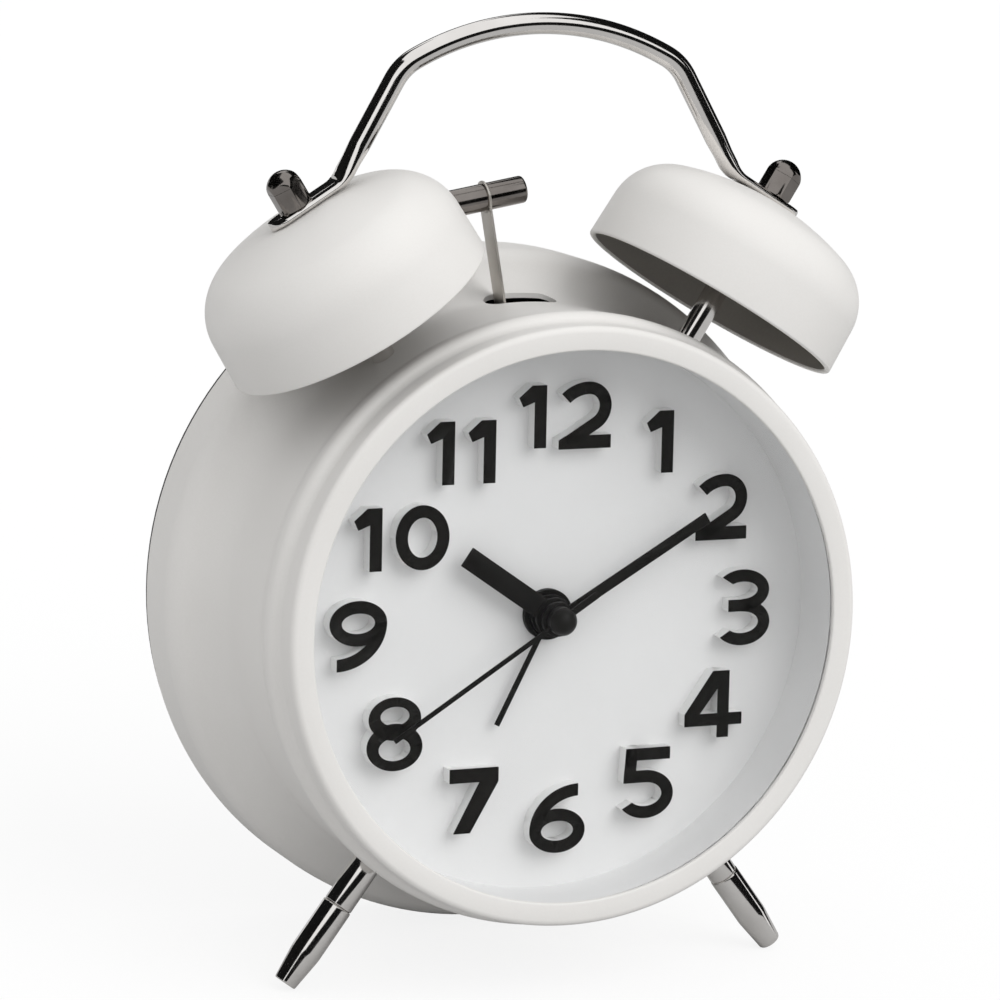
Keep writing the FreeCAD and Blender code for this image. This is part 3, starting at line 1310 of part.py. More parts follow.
def build():
    """Every piece by its node's name, in the case frame."""
    return {
        "case_shell": make_case(),
        "lens": make_lens(),
        "spacer_ring": make_spacer_ring(),
        "dial": make_dial(),
        "numeral_blocks": make_numerals(DIAL_Y, NUMERAL_RISE),
        "numeral_faces": make_numerals(DIAL_Y - NUMERAL_RISE, NUMERAL_CAP),
        "alarm_hand": make_hand(ALARM_HAND_LENGTH, ALARM_HAND_WIDTH, ALARM_BOSS_R, ALARM_PIPE_R,
                                ALARM_HAND_Y, ALARM_ANGLE),
        "hour_hand": make_hand(HOUR_HAND_LENGTH, HOUR_HAND_WIDTH, HOUR_BOSS_R, HOUR_PIPE_R,
                               HOUR_HAND_Y, HOUR_ANGLE),
        "minute_hand": make_hand(MINUTE_HAND_LENGTH, MINUTE_HAND_WIDTH, MINUTE_BOSS_R,
                                 MINUTE_PIPE_R, MINUTE_HAND_Y, MINUTE_ANGLE),
        "second_hand": make_second_hand(),
        "movement_housing": make_movement_housing(),
        "movement_cover": make_movement_cover(),
        "alarm_wheel": make_alarm_wheel(),
        "hour_wheel": make_hour_wheel(),
        "minute_pipe": make_minute_pipe(),
        "motion_wheel": make_motion_wheel(),
        "alarm_set_pinion": make_alarm_pinion(),
        "seconds_wheel": make_seconds_wheel(),
        "third_wheel": make_third_wheel(),
        "rotor": make_rotor(),
        "stator": make_stator(),
        "stepper_coil": make_stepper_coil(),
        "circuit_board": make_circuit_board(),
        "rear_cover": make_rear_cover(),
        "cover_screws": make_cover_screws(),
        "time_set_knob": make_knob(-SET_X),
        "alarm_set_knob": make_knob(ALARM_SET_X),
        "alarm_switch_button": make_switch_button(),
        "alarm_switch_body": make_switch_body(),
        "battery_door": make_battery_door(),
        "battery_cells": make_cells(),
        "contact_plates": make_contact_plates(),
        "contact_springs": make_contact_springs(),
        "bell_left": make_bell(-1),
        "bell_right": make_bell(1),
        "bell_post_left": make_bell_post(-1),
        "bell_post_right": make_bell_post(1),
        "post_nuts": both(make_post_nut),
        "handle": make_handle(),
        "acorn_nuts": both(make_acorn_nut),
        "leg_collar_left": make_leg_collar(-1),
        "leg_collar_right": make_leg_collar(1),
        "leg_foot_left": make_leg_foot(-1),
        "leg_foot_right": make_leg_foot(1),
        "leg_nuts": both(make_leg_nut),
        "striker_frame": make_striker_frame(),
        "striker_core": make_striker_core(),
        "striker_coil": make_striker_coil(),
        "hammer_pivot": make_hammer_pivot(),
        "hammer_arm": make_hammer_arm(),
        "hammer_head": make_hammer_head(),
        "hammer_magnet": make_hammer_magnet(),
    }


os.makedirs("parts", exist_ok=True)
pieces = build()
LEAN, MIDDLE_Y, FLOOR_Z = place(pieces)
for node, shape in pieces.items():
    shape.exportStep("parts/" + node + ".step")
print("pieces", len(pieces), "lean", round(LEAN, 3), "middle", round(MIDDLE_Y, 3), "floor", round(FLOOR_Z, 3))
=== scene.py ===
"""Twin-bell alarm clock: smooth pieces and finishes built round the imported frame."""

import json
import logging
import math
from dataclasses import dataclass
from enum import Enum
from typing import Iterable, Sequence, Union

import bmesh
import bpy
from mathutils import Matrix, Vector

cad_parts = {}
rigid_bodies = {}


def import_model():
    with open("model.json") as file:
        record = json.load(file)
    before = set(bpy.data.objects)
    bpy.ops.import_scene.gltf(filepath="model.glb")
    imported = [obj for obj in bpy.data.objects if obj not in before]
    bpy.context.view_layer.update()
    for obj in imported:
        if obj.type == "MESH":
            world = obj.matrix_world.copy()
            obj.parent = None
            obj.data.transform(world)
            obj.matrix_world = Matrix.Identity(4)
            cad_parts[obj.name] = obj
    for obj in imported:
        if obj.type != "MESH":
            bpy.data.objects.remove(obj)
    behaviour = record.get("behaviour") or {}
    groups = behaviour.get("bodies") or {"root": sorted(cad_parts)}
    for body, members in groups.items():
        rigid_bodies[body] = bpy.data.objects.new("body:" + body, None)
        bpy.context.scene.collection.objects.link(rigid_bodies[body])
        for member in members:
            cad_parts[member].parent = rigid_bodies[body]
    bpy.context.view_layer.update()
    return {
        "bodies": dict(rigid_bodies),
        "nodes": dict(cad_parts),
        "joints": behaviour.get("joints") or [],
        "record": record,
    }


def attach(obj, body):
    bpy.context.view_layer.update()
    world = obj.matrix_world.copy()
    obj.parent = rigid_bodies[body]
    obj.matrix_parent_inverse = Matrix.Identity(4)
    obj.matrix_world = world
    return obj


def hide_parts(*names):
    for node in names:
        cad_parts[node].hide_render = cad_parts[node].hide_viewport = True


LOG = logging.getLogger("clock")
MM = 0.001

Triple = tuple[float, float, float]
Point = tuple[float, float]
Socket = bpy.types.NodeSocket
BMesh = bmesh.types.BMesh
BMVert = bmesh.types.BMVert
BMEdge = bmesh.types.BMEdge


class Body(Enum):
    """The moving bodies of the frame that new pieces ride on."""

    CASE = "case"
    HAMMER = "hammer"
    MINUTE = "minute"
    HOUR = "hour"
    TIME_SET = "time_set"
    SECONDS = "seconds"
    ALARM_SET = "alarm_set"
    POINTER = "alarm_pointer"
    SWITCH = "alarm_switch"
    DOOR = "door"


class Slot(Enum):
    """The record's material slots."""

    ENAMEL = "case_enamel"
    WINDOW = "window"
    DIAL = "dial_white"
    NUMERAL_SIDE = "numeral_white"
    NUMERAL_FACE = "numeral_black"
    HAND = "hand_black"
    CHROME = "chrome"
    DARK_NICKEL = "dark_nickel"
    STEEL = "steel"
    IRON = "soft_iron"
    MAGNET = "magnet"
    COPPER = "copper_wire"
    COVER = "cover_black"
    MOVEMENT = "movement_grey"
    WHEEL = "wheel_natural"
    BOARD = "board"
    CELL = "cell_wrap"


class Graph:
    """A node tree under way."""

    def __init__(self, tree: bpy.types.NodeTree) -> None:
        """Keeps the tree that the nodes go into."""
        self.tree = tree

    def link(self, source: Socket, target: Socket) -> None:
        """Joins two sockets."""
        self.tree.links.new(source, target)

    def node(self, kind: str, **settings: object) -> bpy.types.Node:
        """Adds a node.

        Args:
            kind: The node's type.
            **settings: Values of its own properties.

        Returns:
            The new node.
        """
        node = self.tree.nodes.new(kind)
        for key, value in settings.items():
            setattr(node, key, value)
        return node

    def rays(self, kind: str) -> Socket:
        """One for rays of a kind, such as Is Camera Ray, and nought for others."""
        return self.node("ShaderNodeLightPath").outputs[kind]

    def worked(self, operation: str, first: Socket, second: Union[Socket, float]) -> Socket:
        """Works one number out of two.

        Args:
            operation: The Math node's operation.
            first: The first number.
            second: The second, a socket or a fixed value.

        Returns:
            The result.
        """
        node = self.node("ShaderNodeMath", operation=operation)
        self.link(first, node.inputs[0])
        if isinstance(second, float):
            node.inputs[1].default_value = second
        else:
            self.link(second, node.inputs[1])
        return node.outputs[0]

    def ranged(
        self, value: Socket, low: float, high: float, start: float = 0.3, stop: float = 0.7
    ) -> Socket:
        """Maps a value from one range onto another and stops at its ends.

        Args:
            value: The value.
            low: What start becomes.
            high: What stop becomes.
            start: Where the value's range begins.
            stop: Where it ends.

        Returns:
            The mapped value.
        """
        node = self.node("ShaderNodeMapRange", clamp=True)
        self.link(value, node.inputs["Value"])
        names = ("From Min", "From Max", "To Min", "To Max")
        for key, number in zip(names, (start, stop, low, high)):
            node.inputs[key].default_value = number
        return node.outputs["Result"]


class Recipe(Graph):
    """A material under way: a Principled shader and the nodes that feed it."""

    def __init__(self, name: str, **values: object) -> None:
        """Starts a material.

        Args:
            name: The material's name.
            **values: Values of the shader's sockets, with _ for a space in their names.
        """
        self.material = bpy.data.materials.new(name)
        self.material.use_nodes = True
        super().__init__(self.material.node_tree)
        self.shader = self.tree.nodes["Principled BSDF"]
        self.place = self.node("ShaderNodeTexCoord").outputs["Object"]
        for key, value in values.items():
            self.shader.inputs[key.replace("_", " ")].default_value = value

    def noise(self, scale: float, detail: float) -> Socket:
        """A soft noise over the piece.

        Args:
            scale: Grains to the metre.
            detail: How many finer layers it has.

        Returns:
            The noise's value.
        """
        node = self.node("ShaderNodeTexNoise")
        node.inputs["Scale"].default_value = scale
        node.inputs["Detail"].default_value = detail
        self.link(self.place, node.inputs["Vector"])
        return node.outputs["Fac"]

    def colour(self, factor: Socket, low: Triple, high: Triple) -> None:
        """Feeds the base colour with one between two.

        Args:
            factor: How far it is from low to high.
            low: The colour at nought.
            high: The colour at one.
        """
        node = self.node("ShaderNodeMix", data_type="RGBA")
        self.link(factor, node.inputs["Factor"])
        node.inputs[6].default_value = (*low, 1.0)
        node.inputs[7].default_value = (*high, 1.0)
        self.link(node.outputs[2], self.shader.inputs["Base Color"])

    def roughness(self, socket: Socket) -> None:
        """Feeds the roughness."""
        self.link(socket, self.shader.inputs["Roughness"])

    def relief(self, height: Socket, depth: float, strength: float) -> None:
        """Feeds the normal with a fine relief.

        Args:
            height: The relief's height, 0 to 1.
            depth: Its full depth in millimetres.
            strength: How much of it shows.
        """
        bump = self.node("ShaderNodeBump")
        bump.inputs["Strength"].default_value = strength
        bump.inputs["Distance"].default_value = depth * MM
        self.link(height, bump.inputs["Height"])
        self.link(bump.outputs["Normal"], self.shader.inputs["Normal"])

    def overlaid(self, share: Socket, other: bpy.types.Node) -> None:
        """Mixes another shader over this one.

        Args:
            share: How much of the other shows.
            other: The other shader's node.
        """
        mix = self.node("ShaderNodeMixShader")
        for target, source in zip(mix.inputs, (share, self.shader.outputs[0], other.outputs[0])):
            self.link(source, target)
        self.link(mix.outputs[0], self.tree.nodes["Material Output"].inputs["Surface"])


@dataclass(frozen=True)
class Paint:
    """Satin spray paint or moulded plastic with a fine even grain."""

    name: str
    light: Triple
    dark: Triple
    smooth: float
    rough: float
    patch: float = 55.0
    patch_share: float = 0.6
    grain: float = 2600.0
    depth: float = 0.012
    strength: float = 0.6
    specular: float = 0.5

    def material(self) -> bpy.types.Material:
        """The paint as a node material."""
        recipe = Recipe(self.name, Specular_IOR_Level=self.specular)
        cloud = recipe.noise(self.patch, 2.0)
        speck = recipe.noise(self.grain, 4.0)
        patches = recipe.ranged(cloud, 0.0, self.patch_share)
        specks = recipe.ranged(speck, 0.0, 1.0 - self.patch_share)
        recipe.colour(recipe.worked("ADD", patches, specks), self.dark, self.light)
        recipe.roughness(recipe.ranged(speck, self.smooth, self.rough))
        recipe.relief(speck, self.depth, self.strength)
        return recipe.material


@dataclass(frozen=True)
class Metal:
    """Plated or bare metal with a fine grain and a few scuffs."""

    name: str
    light: Triple
    dark: Triple
    smooth: float
    rough: float
    grain: float = 1500.0
    scuffs: float = 180.0
    depth: float = 0.004
    strength: float = 0.5

    def material(self) -> bpy.types.Material:
        """The metal as a node material."""
        recipe = Recipe(self.name, Metallic=1.0)
        grain = recipe.noise(self.grain, 5.0)
        scuff = recipe.noise(self.scuffs, 6.0)
        recipe.colour(recipe.ranged(scuff, 0.0, 1.0), self.dark, self.light)
        recipe.roughness(recipe.ranged(scuff, self.smooth, self.rough))
        recipe.relief(grain, self.depth, self.strength)
        return recipe.material


@dataclass(frozen=True)
class Card:
    """Printed dial: matt lacquer with a faint fibre and rare raised specks."""

    name: str
    light: Triple
    dark: Triple
    cloud: float = 40.0
    fibre: float = 1900.0
    smooth: float = 0.55
    rough: float = 0.68
    patch: float = 110.0
    patch_edge: Point = (0.56, 0.7)
    speck: float = 620.0
    speck_edge: Point = (0.1, 0.32)
    speck_rise: float = 0.05
    strength: float = 0.5

    def material(self) -> bpy.types.Material:
        """The dial's lacquer as a node material."""
        recipe = Recipe(self.name)
        cloud = recipe.noise(self.cloud, 3.0)
        recipe.colour(recipe.ranged(cloud, 0.0, 1.0), self.dark, self.light)
        recipe.roughness(recipe.ranged(recipe.noise(self.fibre, 4.0), self.smooth, self.rough))
        specks = recipe.node("ShaderNodeTexVoronoi", feature="F1")
        specks.inputs["Scale"].default_value = self.speck
        recipe.link(recipe.place, specks.inputs["Vector"])
        rare = recipe.ranged(recipe.noise(self.patch, 1.0), 0.0, 1.0, *self.patch_edge)
        drop = recipe.ranged(specks.outputs["Distance"], 1.0, 0.0, *self.speck_edge)
        recipe.relief(recipe.worked("MULTIPLY", rare, drop), self.speck_rise, self.strength)
        return recipe.material


@dataclass(frozen=True)
class Glass:
    """Clear window that lets lamps and soft light through."""

    name: str
    tint: Triple = (0.985, 0.99, 0.99)
    ior: float = 1.12

    def material(self) -> bpy.types.Material:
        """The window as a node material."""
        recipe = Recipe(
            self.name, Base_Color=(*self.tint, 1.0), Roughness=0.0, IOR=self.ior,
            Transmission_Weight=1.0,
        )
        soft = recipe.worked("MAXIMUM", recipe.rays("Is Shadow Ray"), recipe.rays("Is Diffuse Ray"))
        recipe.overlaid(soft, recipe.node("ShaderNodeBsdfTransparent"))
        return recipe.material


@dataclass(frozen=True)
class Winding:
    """Enamelled copper wire wound in fine turns along the X axis."""

    name: str
    light: Triple = (0.62, 0.23, 0.09)
    dark: Triple = (0.24, 0.06, 0.02)
    turns: float = 900.0
    wander: float = 0.4
    metallic: float = 0.85
    smooth: float = 0.28
    rough: float = 0.5
    depth: float = 0.05
    strength: float = 0.8

    def material(self) -> bpy.types.Material:
        """The winding as a node material."""
        recipe = Recipe(self.name, Metallic=self.metallic)
        wave = recipe.node("ShaderNodeTexWave", wave_type="BANDS", bands_direction="X")
        wave.inputs["Scale"].default_value = self.turns
        wave.inputs["Distortion"].default_value = self.wander
        recipe.link(recipe.place, wave.inputs["Vector"])
        height = wave.outputs["Fac"]
        recipe.colour(height, self.dark, self.light)
        recipe.roughness(recipe.ranged(height, self.rough, self.smooth, 0.0, 1.0))
        recipe.relief(height, self.depth, self.strength)
        return recipe.material


@dataclass(frozen=True)
class CellWrap:
    """Plain two-colour wrap of a dry cell, split along the X axis, with a metallic band."""

    name: str
    body: Triple = (0.02, 0.021, 0.024)
    band: Triple = (0.55, 0.36, 0.14)
    half_length: float = 24.0
    band_length: float = 13.0
    fade: float = 0.2
    scuffs: float = 260.0
    smooth: float = 0.25
    rough: float = 0.42
    metallic: float = 0.8
    depth: float = 0.01
    strength: float = 0.4

    def material(self) -> bpy.types.Material:
        """The wrap as a node material."""
        recipe = Recipe(self.name)
        split = recipe.node("ShaderNodeSeparateXYZ")
        recipe.link(recipe.place, split.inputs[0])
        edge = (self.half_length - self.band_length) * MM
        band = recipe.ranged(split.outputs["X"], 0.0, 1.0, edge, edge + self.fade * MM)
        recipe.colour(band, self.body, self.band)
        scuff = recipe.noise(self.scuffs, 5.0)
        recipe.roughness(recipe.ranged(scuff, self.smooth, self.rough))
        shine = recipe.ranged(band, 0.0, self.metallic, 0.0, 1.0)
        recipe.link(shine, recipe.shader.inputs["Metallic"])
        recipe.relief(scuff, self.depth, self.strength)
        return recipe.material


FINISHES = {
    Slot.ENAMEL: Paint("warm_white_satin", (0.80, 0.786, 0.765), (0.765, 0.75, 0.727), 0.40, 0.52),
    Slot.WINDOW: Glass("window_glass"),
    Slot.DIAL: Card("dial_lacquer", (0.80, 0.80, 0.80), (0.775, 0.775, 0.775)),
    Slot.NUMERAL_SIDE: Paint(
        "numeral_side_white", (0.81, 0.81, 0.805), (0.77, 0.77, 0.765), 0.4, 0.5
    ),
    Slot.NUMERAL_FACE: Paint(
        "numeral_face_black", (0.014, 0.013, 0.012), (0.008, 0.008, 0.0075), 0.42, 0.55,
        specular=0.14,
    ),
    Slot.HAND: Paint(
        "hand_matt_black", (0.012, 0.011, 0.0105), (0.007, 0.007, 0.0065), 0.38, 0.5, specular=0.16
    ),
    Slot.CHROME: Metal("bright_nickel", (0.82, 0.80, 0.78), (0.74, 0.72, 0.70), 0.06, 0.12),
    Slot.DARK_NICKEL: Metal("dark_nickel", (0.27, 0.25, 0.235), (0.19, 0.172, 0.16), 0.10, 0.20),
    Slot.STEEL: Metal("bright_steel", (0.74, 0.71, 0.66), (0.64, 0.61, 0.57), 0.42, 0.55),
    # The iron finish is real on the stator and cores; on the liners inside the bells its darkness
    # is painted shade.
    Slot.IRON: Paint("phosphated_iron_and_painted_bell_shade", (0.33, 0.31, 0.285), (0.26, 0.243, 0.222), 0.45, 0.6),
    Slot.MAGNET: Metal("magnet_grey", (0.30, 0.30, 0.31), (0.20, 0.20, 0.21), 0.3, 0.45),
    Slot.COPPER: Winding("copper_winding"),
    Slot.COVER: Paint(
        "cover_black_abs", (0.018, 0.017, 0.0165), (0.011, 0.0105, 0.010), 0.42, 0.6,
        grain=3200.0, depth=0.02,
    ),
    Slot.MOVEMENT: Paint(
        "movement_grey_plastic", (0.30, 0.31, 0.32), (0.24, 0.25, 0.26), 0.4, 0.55
    ),
    Slot.WHEEL: Paint("wheel_natural_plastic", (0.70, 0.67, 0.60), (0.62, 0.59, 0.52), 0.3, 0.42),
    Slot.BOARD: Paint("board_green", (0.03, 0.14, 0.06), (0.018, 0.09, 0.04), 0.3, 0.42),
    Slot.CELL: CellWrap("cell_wrap_plain"),
}


def shifted(x: float, y: float, z: float) -> Matrix:
    """A move along each axis."""
    return Matrix.Translation((x, y, z))


def turned(degrees: float, axis: str) -> Matrix:
    """A turn about an axis through the origin."""
    return Matrix.Rotation(math.radians(degrees), 4, axis)


def picked(kind: type, geom: Iterable[object]) -> list:
    """The elements of one kind among what an operator returned."""
    return [item for item in geom if isinstance(item, kind)]


def edges_at(verts: Iterable[BMVert]) -> list[BMEdge]:
    """The edges that meet some vertices, each once."""
    return list({edge for vert in verts for edge in vert.link_edges})


def soften(
    bm: BMesh, geom: list, width: float, segments: int, affect: str = "EDGES", clamp: bool = False
) -> None:
    """Rounds off edges or corners.

    Args:
        bm: The mesh.
        geom: The edges or vertices.
        width: How far each is rounded off.
        segments: Facets of the rounding.
        affect: EDGES or VERTICES.
        clamp: Keeps neighbours from running into each other.
    """
    bmesh.ops.bevel(
        bm, geom=geom, offset=width, offset_type="OFFSET", segments=segments, profile=0.5,
        affect=affect, material=-1, clamp_overlap=clamp,
    )


def finished(bm: BMesh, name: str) -> bpy.types.Mesh:
    """Makes a mesh under way a mesh of the file.

    Args:
        bm: The mesh under way; it is used up.
        name: The new mesh's name.

    Returns:
        The new mesh.
    """
    mesh = bpy.data.meshes.new(name)
    bm.to_mesh(mesh)
    bm.free()
    return mesh


def add(bm: BMesh, other: BMesh) -> None:
    """Adds a second mesh, which is used up, to a first.

    Args:
        bm: The mesh that grows.
        other: The mesh that goes into it.
    """
    mesh = finished(other, "added")
    bm.from_mesh(mesh)
    bpy.data.meshes.remove(mesh)


def shown(name: str, data: bpy.types.ID) -> bpy.types.Object:
    """Puts a mesh, lamp or camera in the scene.

    Args:
        name: The object's name.
        data: What it shows.

    Returns:
        The object.
    """
    item = bpy.data.objects.new(name, data)
    bpy.context.scene.collection.objects.link(item)
    return item


def radial(angle: float, depth: float) -> Matrix:
    """Stands a piece turned about the Y axis up from the dial axis, at a clock angle."""
    return shifted(0.0, depth, 0.0) @ turned(angle, "Y") @ turned(90.0, "X")


@dataclass(frozen=True)
class Stand:
    """How the case leans back on its feet, in degrees and millimetres."""

    lean: float = 6.009
    middle_y: float = 26.846
    axis_height: float = 63.013

    def matrix(self) -> Matrix:
        """From the case's own millimetres to the row frame's metres."""
        move = shifted(0.0, -self.middle_y, self.axis_height)
        return Matrix.Scale(MM, 4) @ move @ turned(-self.lean, "X")


class Lathe:
    """Draws an outline in (radius, height) millimetres and turns it about the Y axis."""

    CORNER_STEPS = 4
    MERGE = 0.001

    def __init__(self, radius: float, height: float, rounding: float = 0.0) -> None:
        """Starts the outline at one point.

        Args:
            radius: Its radius.
            height: Its height.
            rounding: How far the corner there is rounded off.
        """
        self.bm = bmesh.new()
        self.tip = self.bm.verts.new((radius, height, 0.0))
        self.first = self.tip
        self.corners = [(self.tip, rounding)]

    def line(self, *stops: Sequence[float]) -> "Lathe":
        """Draws straight lines.

        Args:
            *stops: Radius and height at each one's end, and how far its corner is rounded off.

        Returns:
            This lathe.
        """
        for radius, height, *rounding in stops:
            self.tip = bmesh.ops.extrude_vert_indiv(self.bm, verts=[self.tip])["verts"][0]
            self.tip.co = (radius, height, 0.0)
            self.corners.append((self.tip, sum(rounding)))
        return self

    def arc(self, centre: Point, degrees: float, steps: int) -> "Lathe":
        """Draws an arc, anticlockwise for positive degrees.

        Args:
            centre: Its centre.
            degrees: How far it turns.
            steps: Its facets.

        Returns:
            This lathe.
        """
        out = bmesh.ops.spin(
            self.bm, geom=[self.tip], cent=(*centre, 0.0), axis=(0.0, 0.0, 1.0),
            angle=math.radians(degrees), steps=steps, use_merge=False, use_duplicate=False,
        )
        self.tip = out["geom_last"][0]
        return self

    def swell(self, rise: float, run: float, share: float, steps: int) -> "Lathe":
        """Draws two arcs that lead from one straight wall to a parallel one.

        Args:
            rise: Change of radius.
            run: Change of height.
            share: The first arc's part of both radii.
            steps: Facets of each arc.

        Returns:
            This lathe.
        """
        turn = 2.0 * math.atan2(abs(rise), run)
        side = math.copysign(1.0, rise)
        first = run / math.sin(turn) * share
        second = run / math.sin(turn) - first
        r, h = self.tip.co.x, self.tip.co.y
        self.arc((r + side * first, h), -side * math.degrees(turn), steps)
        return self.arc((r + rise - side * second, h + run), side * math.degrees(turn), steps)

    def turned(self, steps: int, closed: bool) -> BMesh:
        """Rounds the corners and spins the outline.

        Args:
            steps: Facets round the axis.
            closed: Joins the outline's two ends.

        Returns:
            The turned mesh.
        """
        if closed:
            self.bm.edges.new((self.tip, self.first))
        for vert, rounding in self.corners:
            if rounding:
                soften(self.bm, [vert], rounding, self.CORNER_STEPS, "VERTICES")
        bmesh.ops.spin(
            self.bm, geom=self.bm.verts[:] + self.bm.edges[:], cent=(0.0, 0.0, 0.0),
            axis=(0.0, 1.0, 0.0), angle=math.tau, steps=steps, use_merge=True, use_duplicate=False,
        )
        bmesh.ops.remove_doubles(self.bm, verts=self.bm.verts, dist=self.MERGE)
        bmesh.ops.recalc_face_normals(self.bm, faces=self.bm.faces)
        return self.bm


class Workshop:
    """Turns meshes into finished pieces on the frame."""

    SHARP = 32.0
    CORNER = 30.0
    FLAT = 0.4
    MERGE = 1e-6

    def __init__(self, frame: dict) -> None:
        """Keeps the frame and makes one material for each slot.
        """
        self.nodes = frame["nodes"]
        self.stand = Stand().matrix()
        self.materials = {slot: finish.material() for slot, finish in FINISHES.items()}

    def publish(
        self, bm: BMesh, name: str, slot: Slot, body: Body, stands_for: Sequence[str],
        sharp: float = SHARP, placed: bool = False,
    ) -> None:
        """Makes a mesh a piece of the clock.

        Args:
            bm: The mesh, in the case's millimetres.
            name: The piece's name.
            slot: Its material slot.
            body: The body that carries it.
            stands_for: The CAD nodes that it replaces.
            sharp: Angle from which an edge stays sharp.
            placed: True if the mesh already is in the row frame.
        """
        if not placed:
            bmesh.ops.transform(bm, matrix=self.stand, verts=bm.verts)
        mesh = finished(bm, name)
        mesh.polygons.foreach_set("use_smooth", [True] * len(mesh.polygons))
        mesh.set_sharp_from_angle(angle=math.radians(sharp))
        mesh.materials.append(self.materials[slot])
        piece = shown(name, mesh)
        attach(piece, body.value)
        if stands_for:
            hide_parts(*stands_for)
        LOG.info("%s: %d faces on %s", name, len(mesh.polygons), body.value)

    def cut(self, bm: BMesh, cutter: BMesh) -> BMesh:
        """Cuts one mesh out of another.

        Args:
            bm: The mesh to cut; it is used up.
            cutter: A closed mesh; it is used up.

        Returns:
            The mesh with the cut.
        """
        body = shown("cut_body", finished(bm, "cut_body"))
        tool = shown("cut_tool", finished(cutter, "cut_tool"))
        knife = body.modifiers.new("knife", "BOOLEAN")
        knife.operation = "DIFFERENCE"
        knife.solver = "EXACT"
        knife.object = tool
        graph = bpy.context.evaluated_depsgraph_get()
        result = bmesh.new()
        result.from_mesh(body.evaluated_get(graph).to_mesh())
        for item in (body, tool):
            mesh = item.data
            bpy.data.objects.remove(item)
            bpy.data.meshes.remove(mesh)
        return result

    def copied(self, node: str) -> BMesh:
        """Copies a CAD node, with its loose triangles made whole faces.

        Args:
            node: The node's name.

        Returns:
            The copy, in the row frame.
        """
        bm = bmesh.new()
        bm.from_mesh(self.nodes[node].data)
        bmesh.ops.remove_doubles(bm, verts=bm.verts, dist=self.MERGE)
        flat = math.radians(self.FLAT)
        bmesh.ops.dissolve_limit(bm, angle_limit=flat, verts=bm.verts, edges=bm.edges)
        return bm

    def refine(self, node: str, name: str, slot: Slot, body: Body, rounding: float) -> None:
        """Puts a copy with softened edges in a CAD node's place.

        Args:
            node: The node's name.
            name: The piece's name.
            slot: Its material slot.
            body: The body that carries it.
            rounding: Width of the softened edges in millimetres.
        """
        bm = self.copied(node)
        limit = math.radians(self.CORNER)
        edges = [e for e in bm.edges if len(e.link_faces) == 2 and e.calc_face_angle(0.0) > limit]
        soften(bm, edges, rounding * MM, 2, clamp=True)
        self.publish(bm, name, slot, body, [node], placed=True)

    def dress(self, slot: Slot, *names: str) -> None:
        """Gives CAD nodes a slot's material.

        Args:
            slot: The slot.
            *names: The nodes' names.
        """
        for name in names:
            data = self.nodes[name].data
            data.materials.clear()
            data.materials.append(self.materials[slot])
            LOG.info("%s: dressed in %s", name, slot.value)


@dataclass
class Drum:
    """The painted case with its bezel, shoulder, waist, flare and flange."""

    shop: Workshop
    wall: float = 0.8
    lip_gap: float = 0.05
    opening_r: float = 46.0
    bezel_r: float = 50.0
    bezel_depth: float = 4.2
    inner_edge: float = 0.35
    outer_edge: float = 1.1
    shoulder_rise: float = 1.5
    shoulder_run: float = 3.8
    waist_fall: float = -0.8
    waist_run: float = 5.5
    waist_end: float = 26.5
    flare_rise: float = 7.35
    flare_run: float = 15.0
    flare_share: float = 0.7
    flange_end: float = 50.3
    facets: int = 192
    slot_y: float = 28.7
    slot_length: float = 12.8
    slot_width: float = 5.0
    cutter_z: float = 60.0
    cutter_height: float = 40.0

    def skin(self) -> BMesh:
        """Turns the pressed shell with its wall.

        Returns:
            The closed shell.
        """
        waist_r = self.bezel_r + self.shoulder_rise + self.waist_fall
        lathe = Lathe(self.opening_r, self.wall - self.lip_gap).line(
            (self.opening_r, 0.0, self.inner_edge), (self.bezel_r, 0.0, self.outer_edge),
            (self.bezel_r, self.bezel_depth),
        )
        lathe.swell(self.shoulder_rise, self.shoulder_run, 0.5, 8)
        lathe.swell(self.waist_fall, self.waist_run, 0.5, 6).line((waist_r, self.waist_end))
        lathe.swell(self.flare_rise, self.flare_run, self.flare_share, 14)
        bm = lathe.line((waist_r + self.flare_rise, self.flange_end)).turned(self.facets, False)
        outer = max(bm.faces, key=lambda f: f.calc_center_median().length)
        if outer.normal.dot(outer.calc_center_median()) < 0.0:
            bmesh.ops.reverse_faces(bm, faces=bm.faces)
        bmesh.ops.solidify(bm, geom=bm.faces[:], thickness=self.wall)
        return bm

    def slot_cutter(self) -> BMesh:
        """Makes a long round-ended bar that passes through the case's top.

        Returns:
            The bar.
        """
        bm = bmesh.new()
        radius = self.slot_width / 2
        bmesh.ops.create_cone(
            bm, cap_ends=True, segments=32, radius1=radius, radius2=radius,
            depth=self.cutter_height, matrix=shifted(0.0, self.slot_y, self.cutter_z),
        )
        reach = self.slot_length / 2 - radius
        for side in (-1.0, 1.0):
            half = [v for v in bm.verts if v.co.x * side > 0.001]
            bmesh.ops.translate(bm, verts=half, vec=(side * reach, 0.0, 0.0))
        return bm

    def build(self) -> None:
        """Cuts the hammer's slot and puts the case on the frame."""
        bm = self.shop.cut(self.skin(), self.slot_cutter())
        self.shop.publish(bm, "case_drum", Slot.ENAMEL, Body.CASE, ["case_shell"])


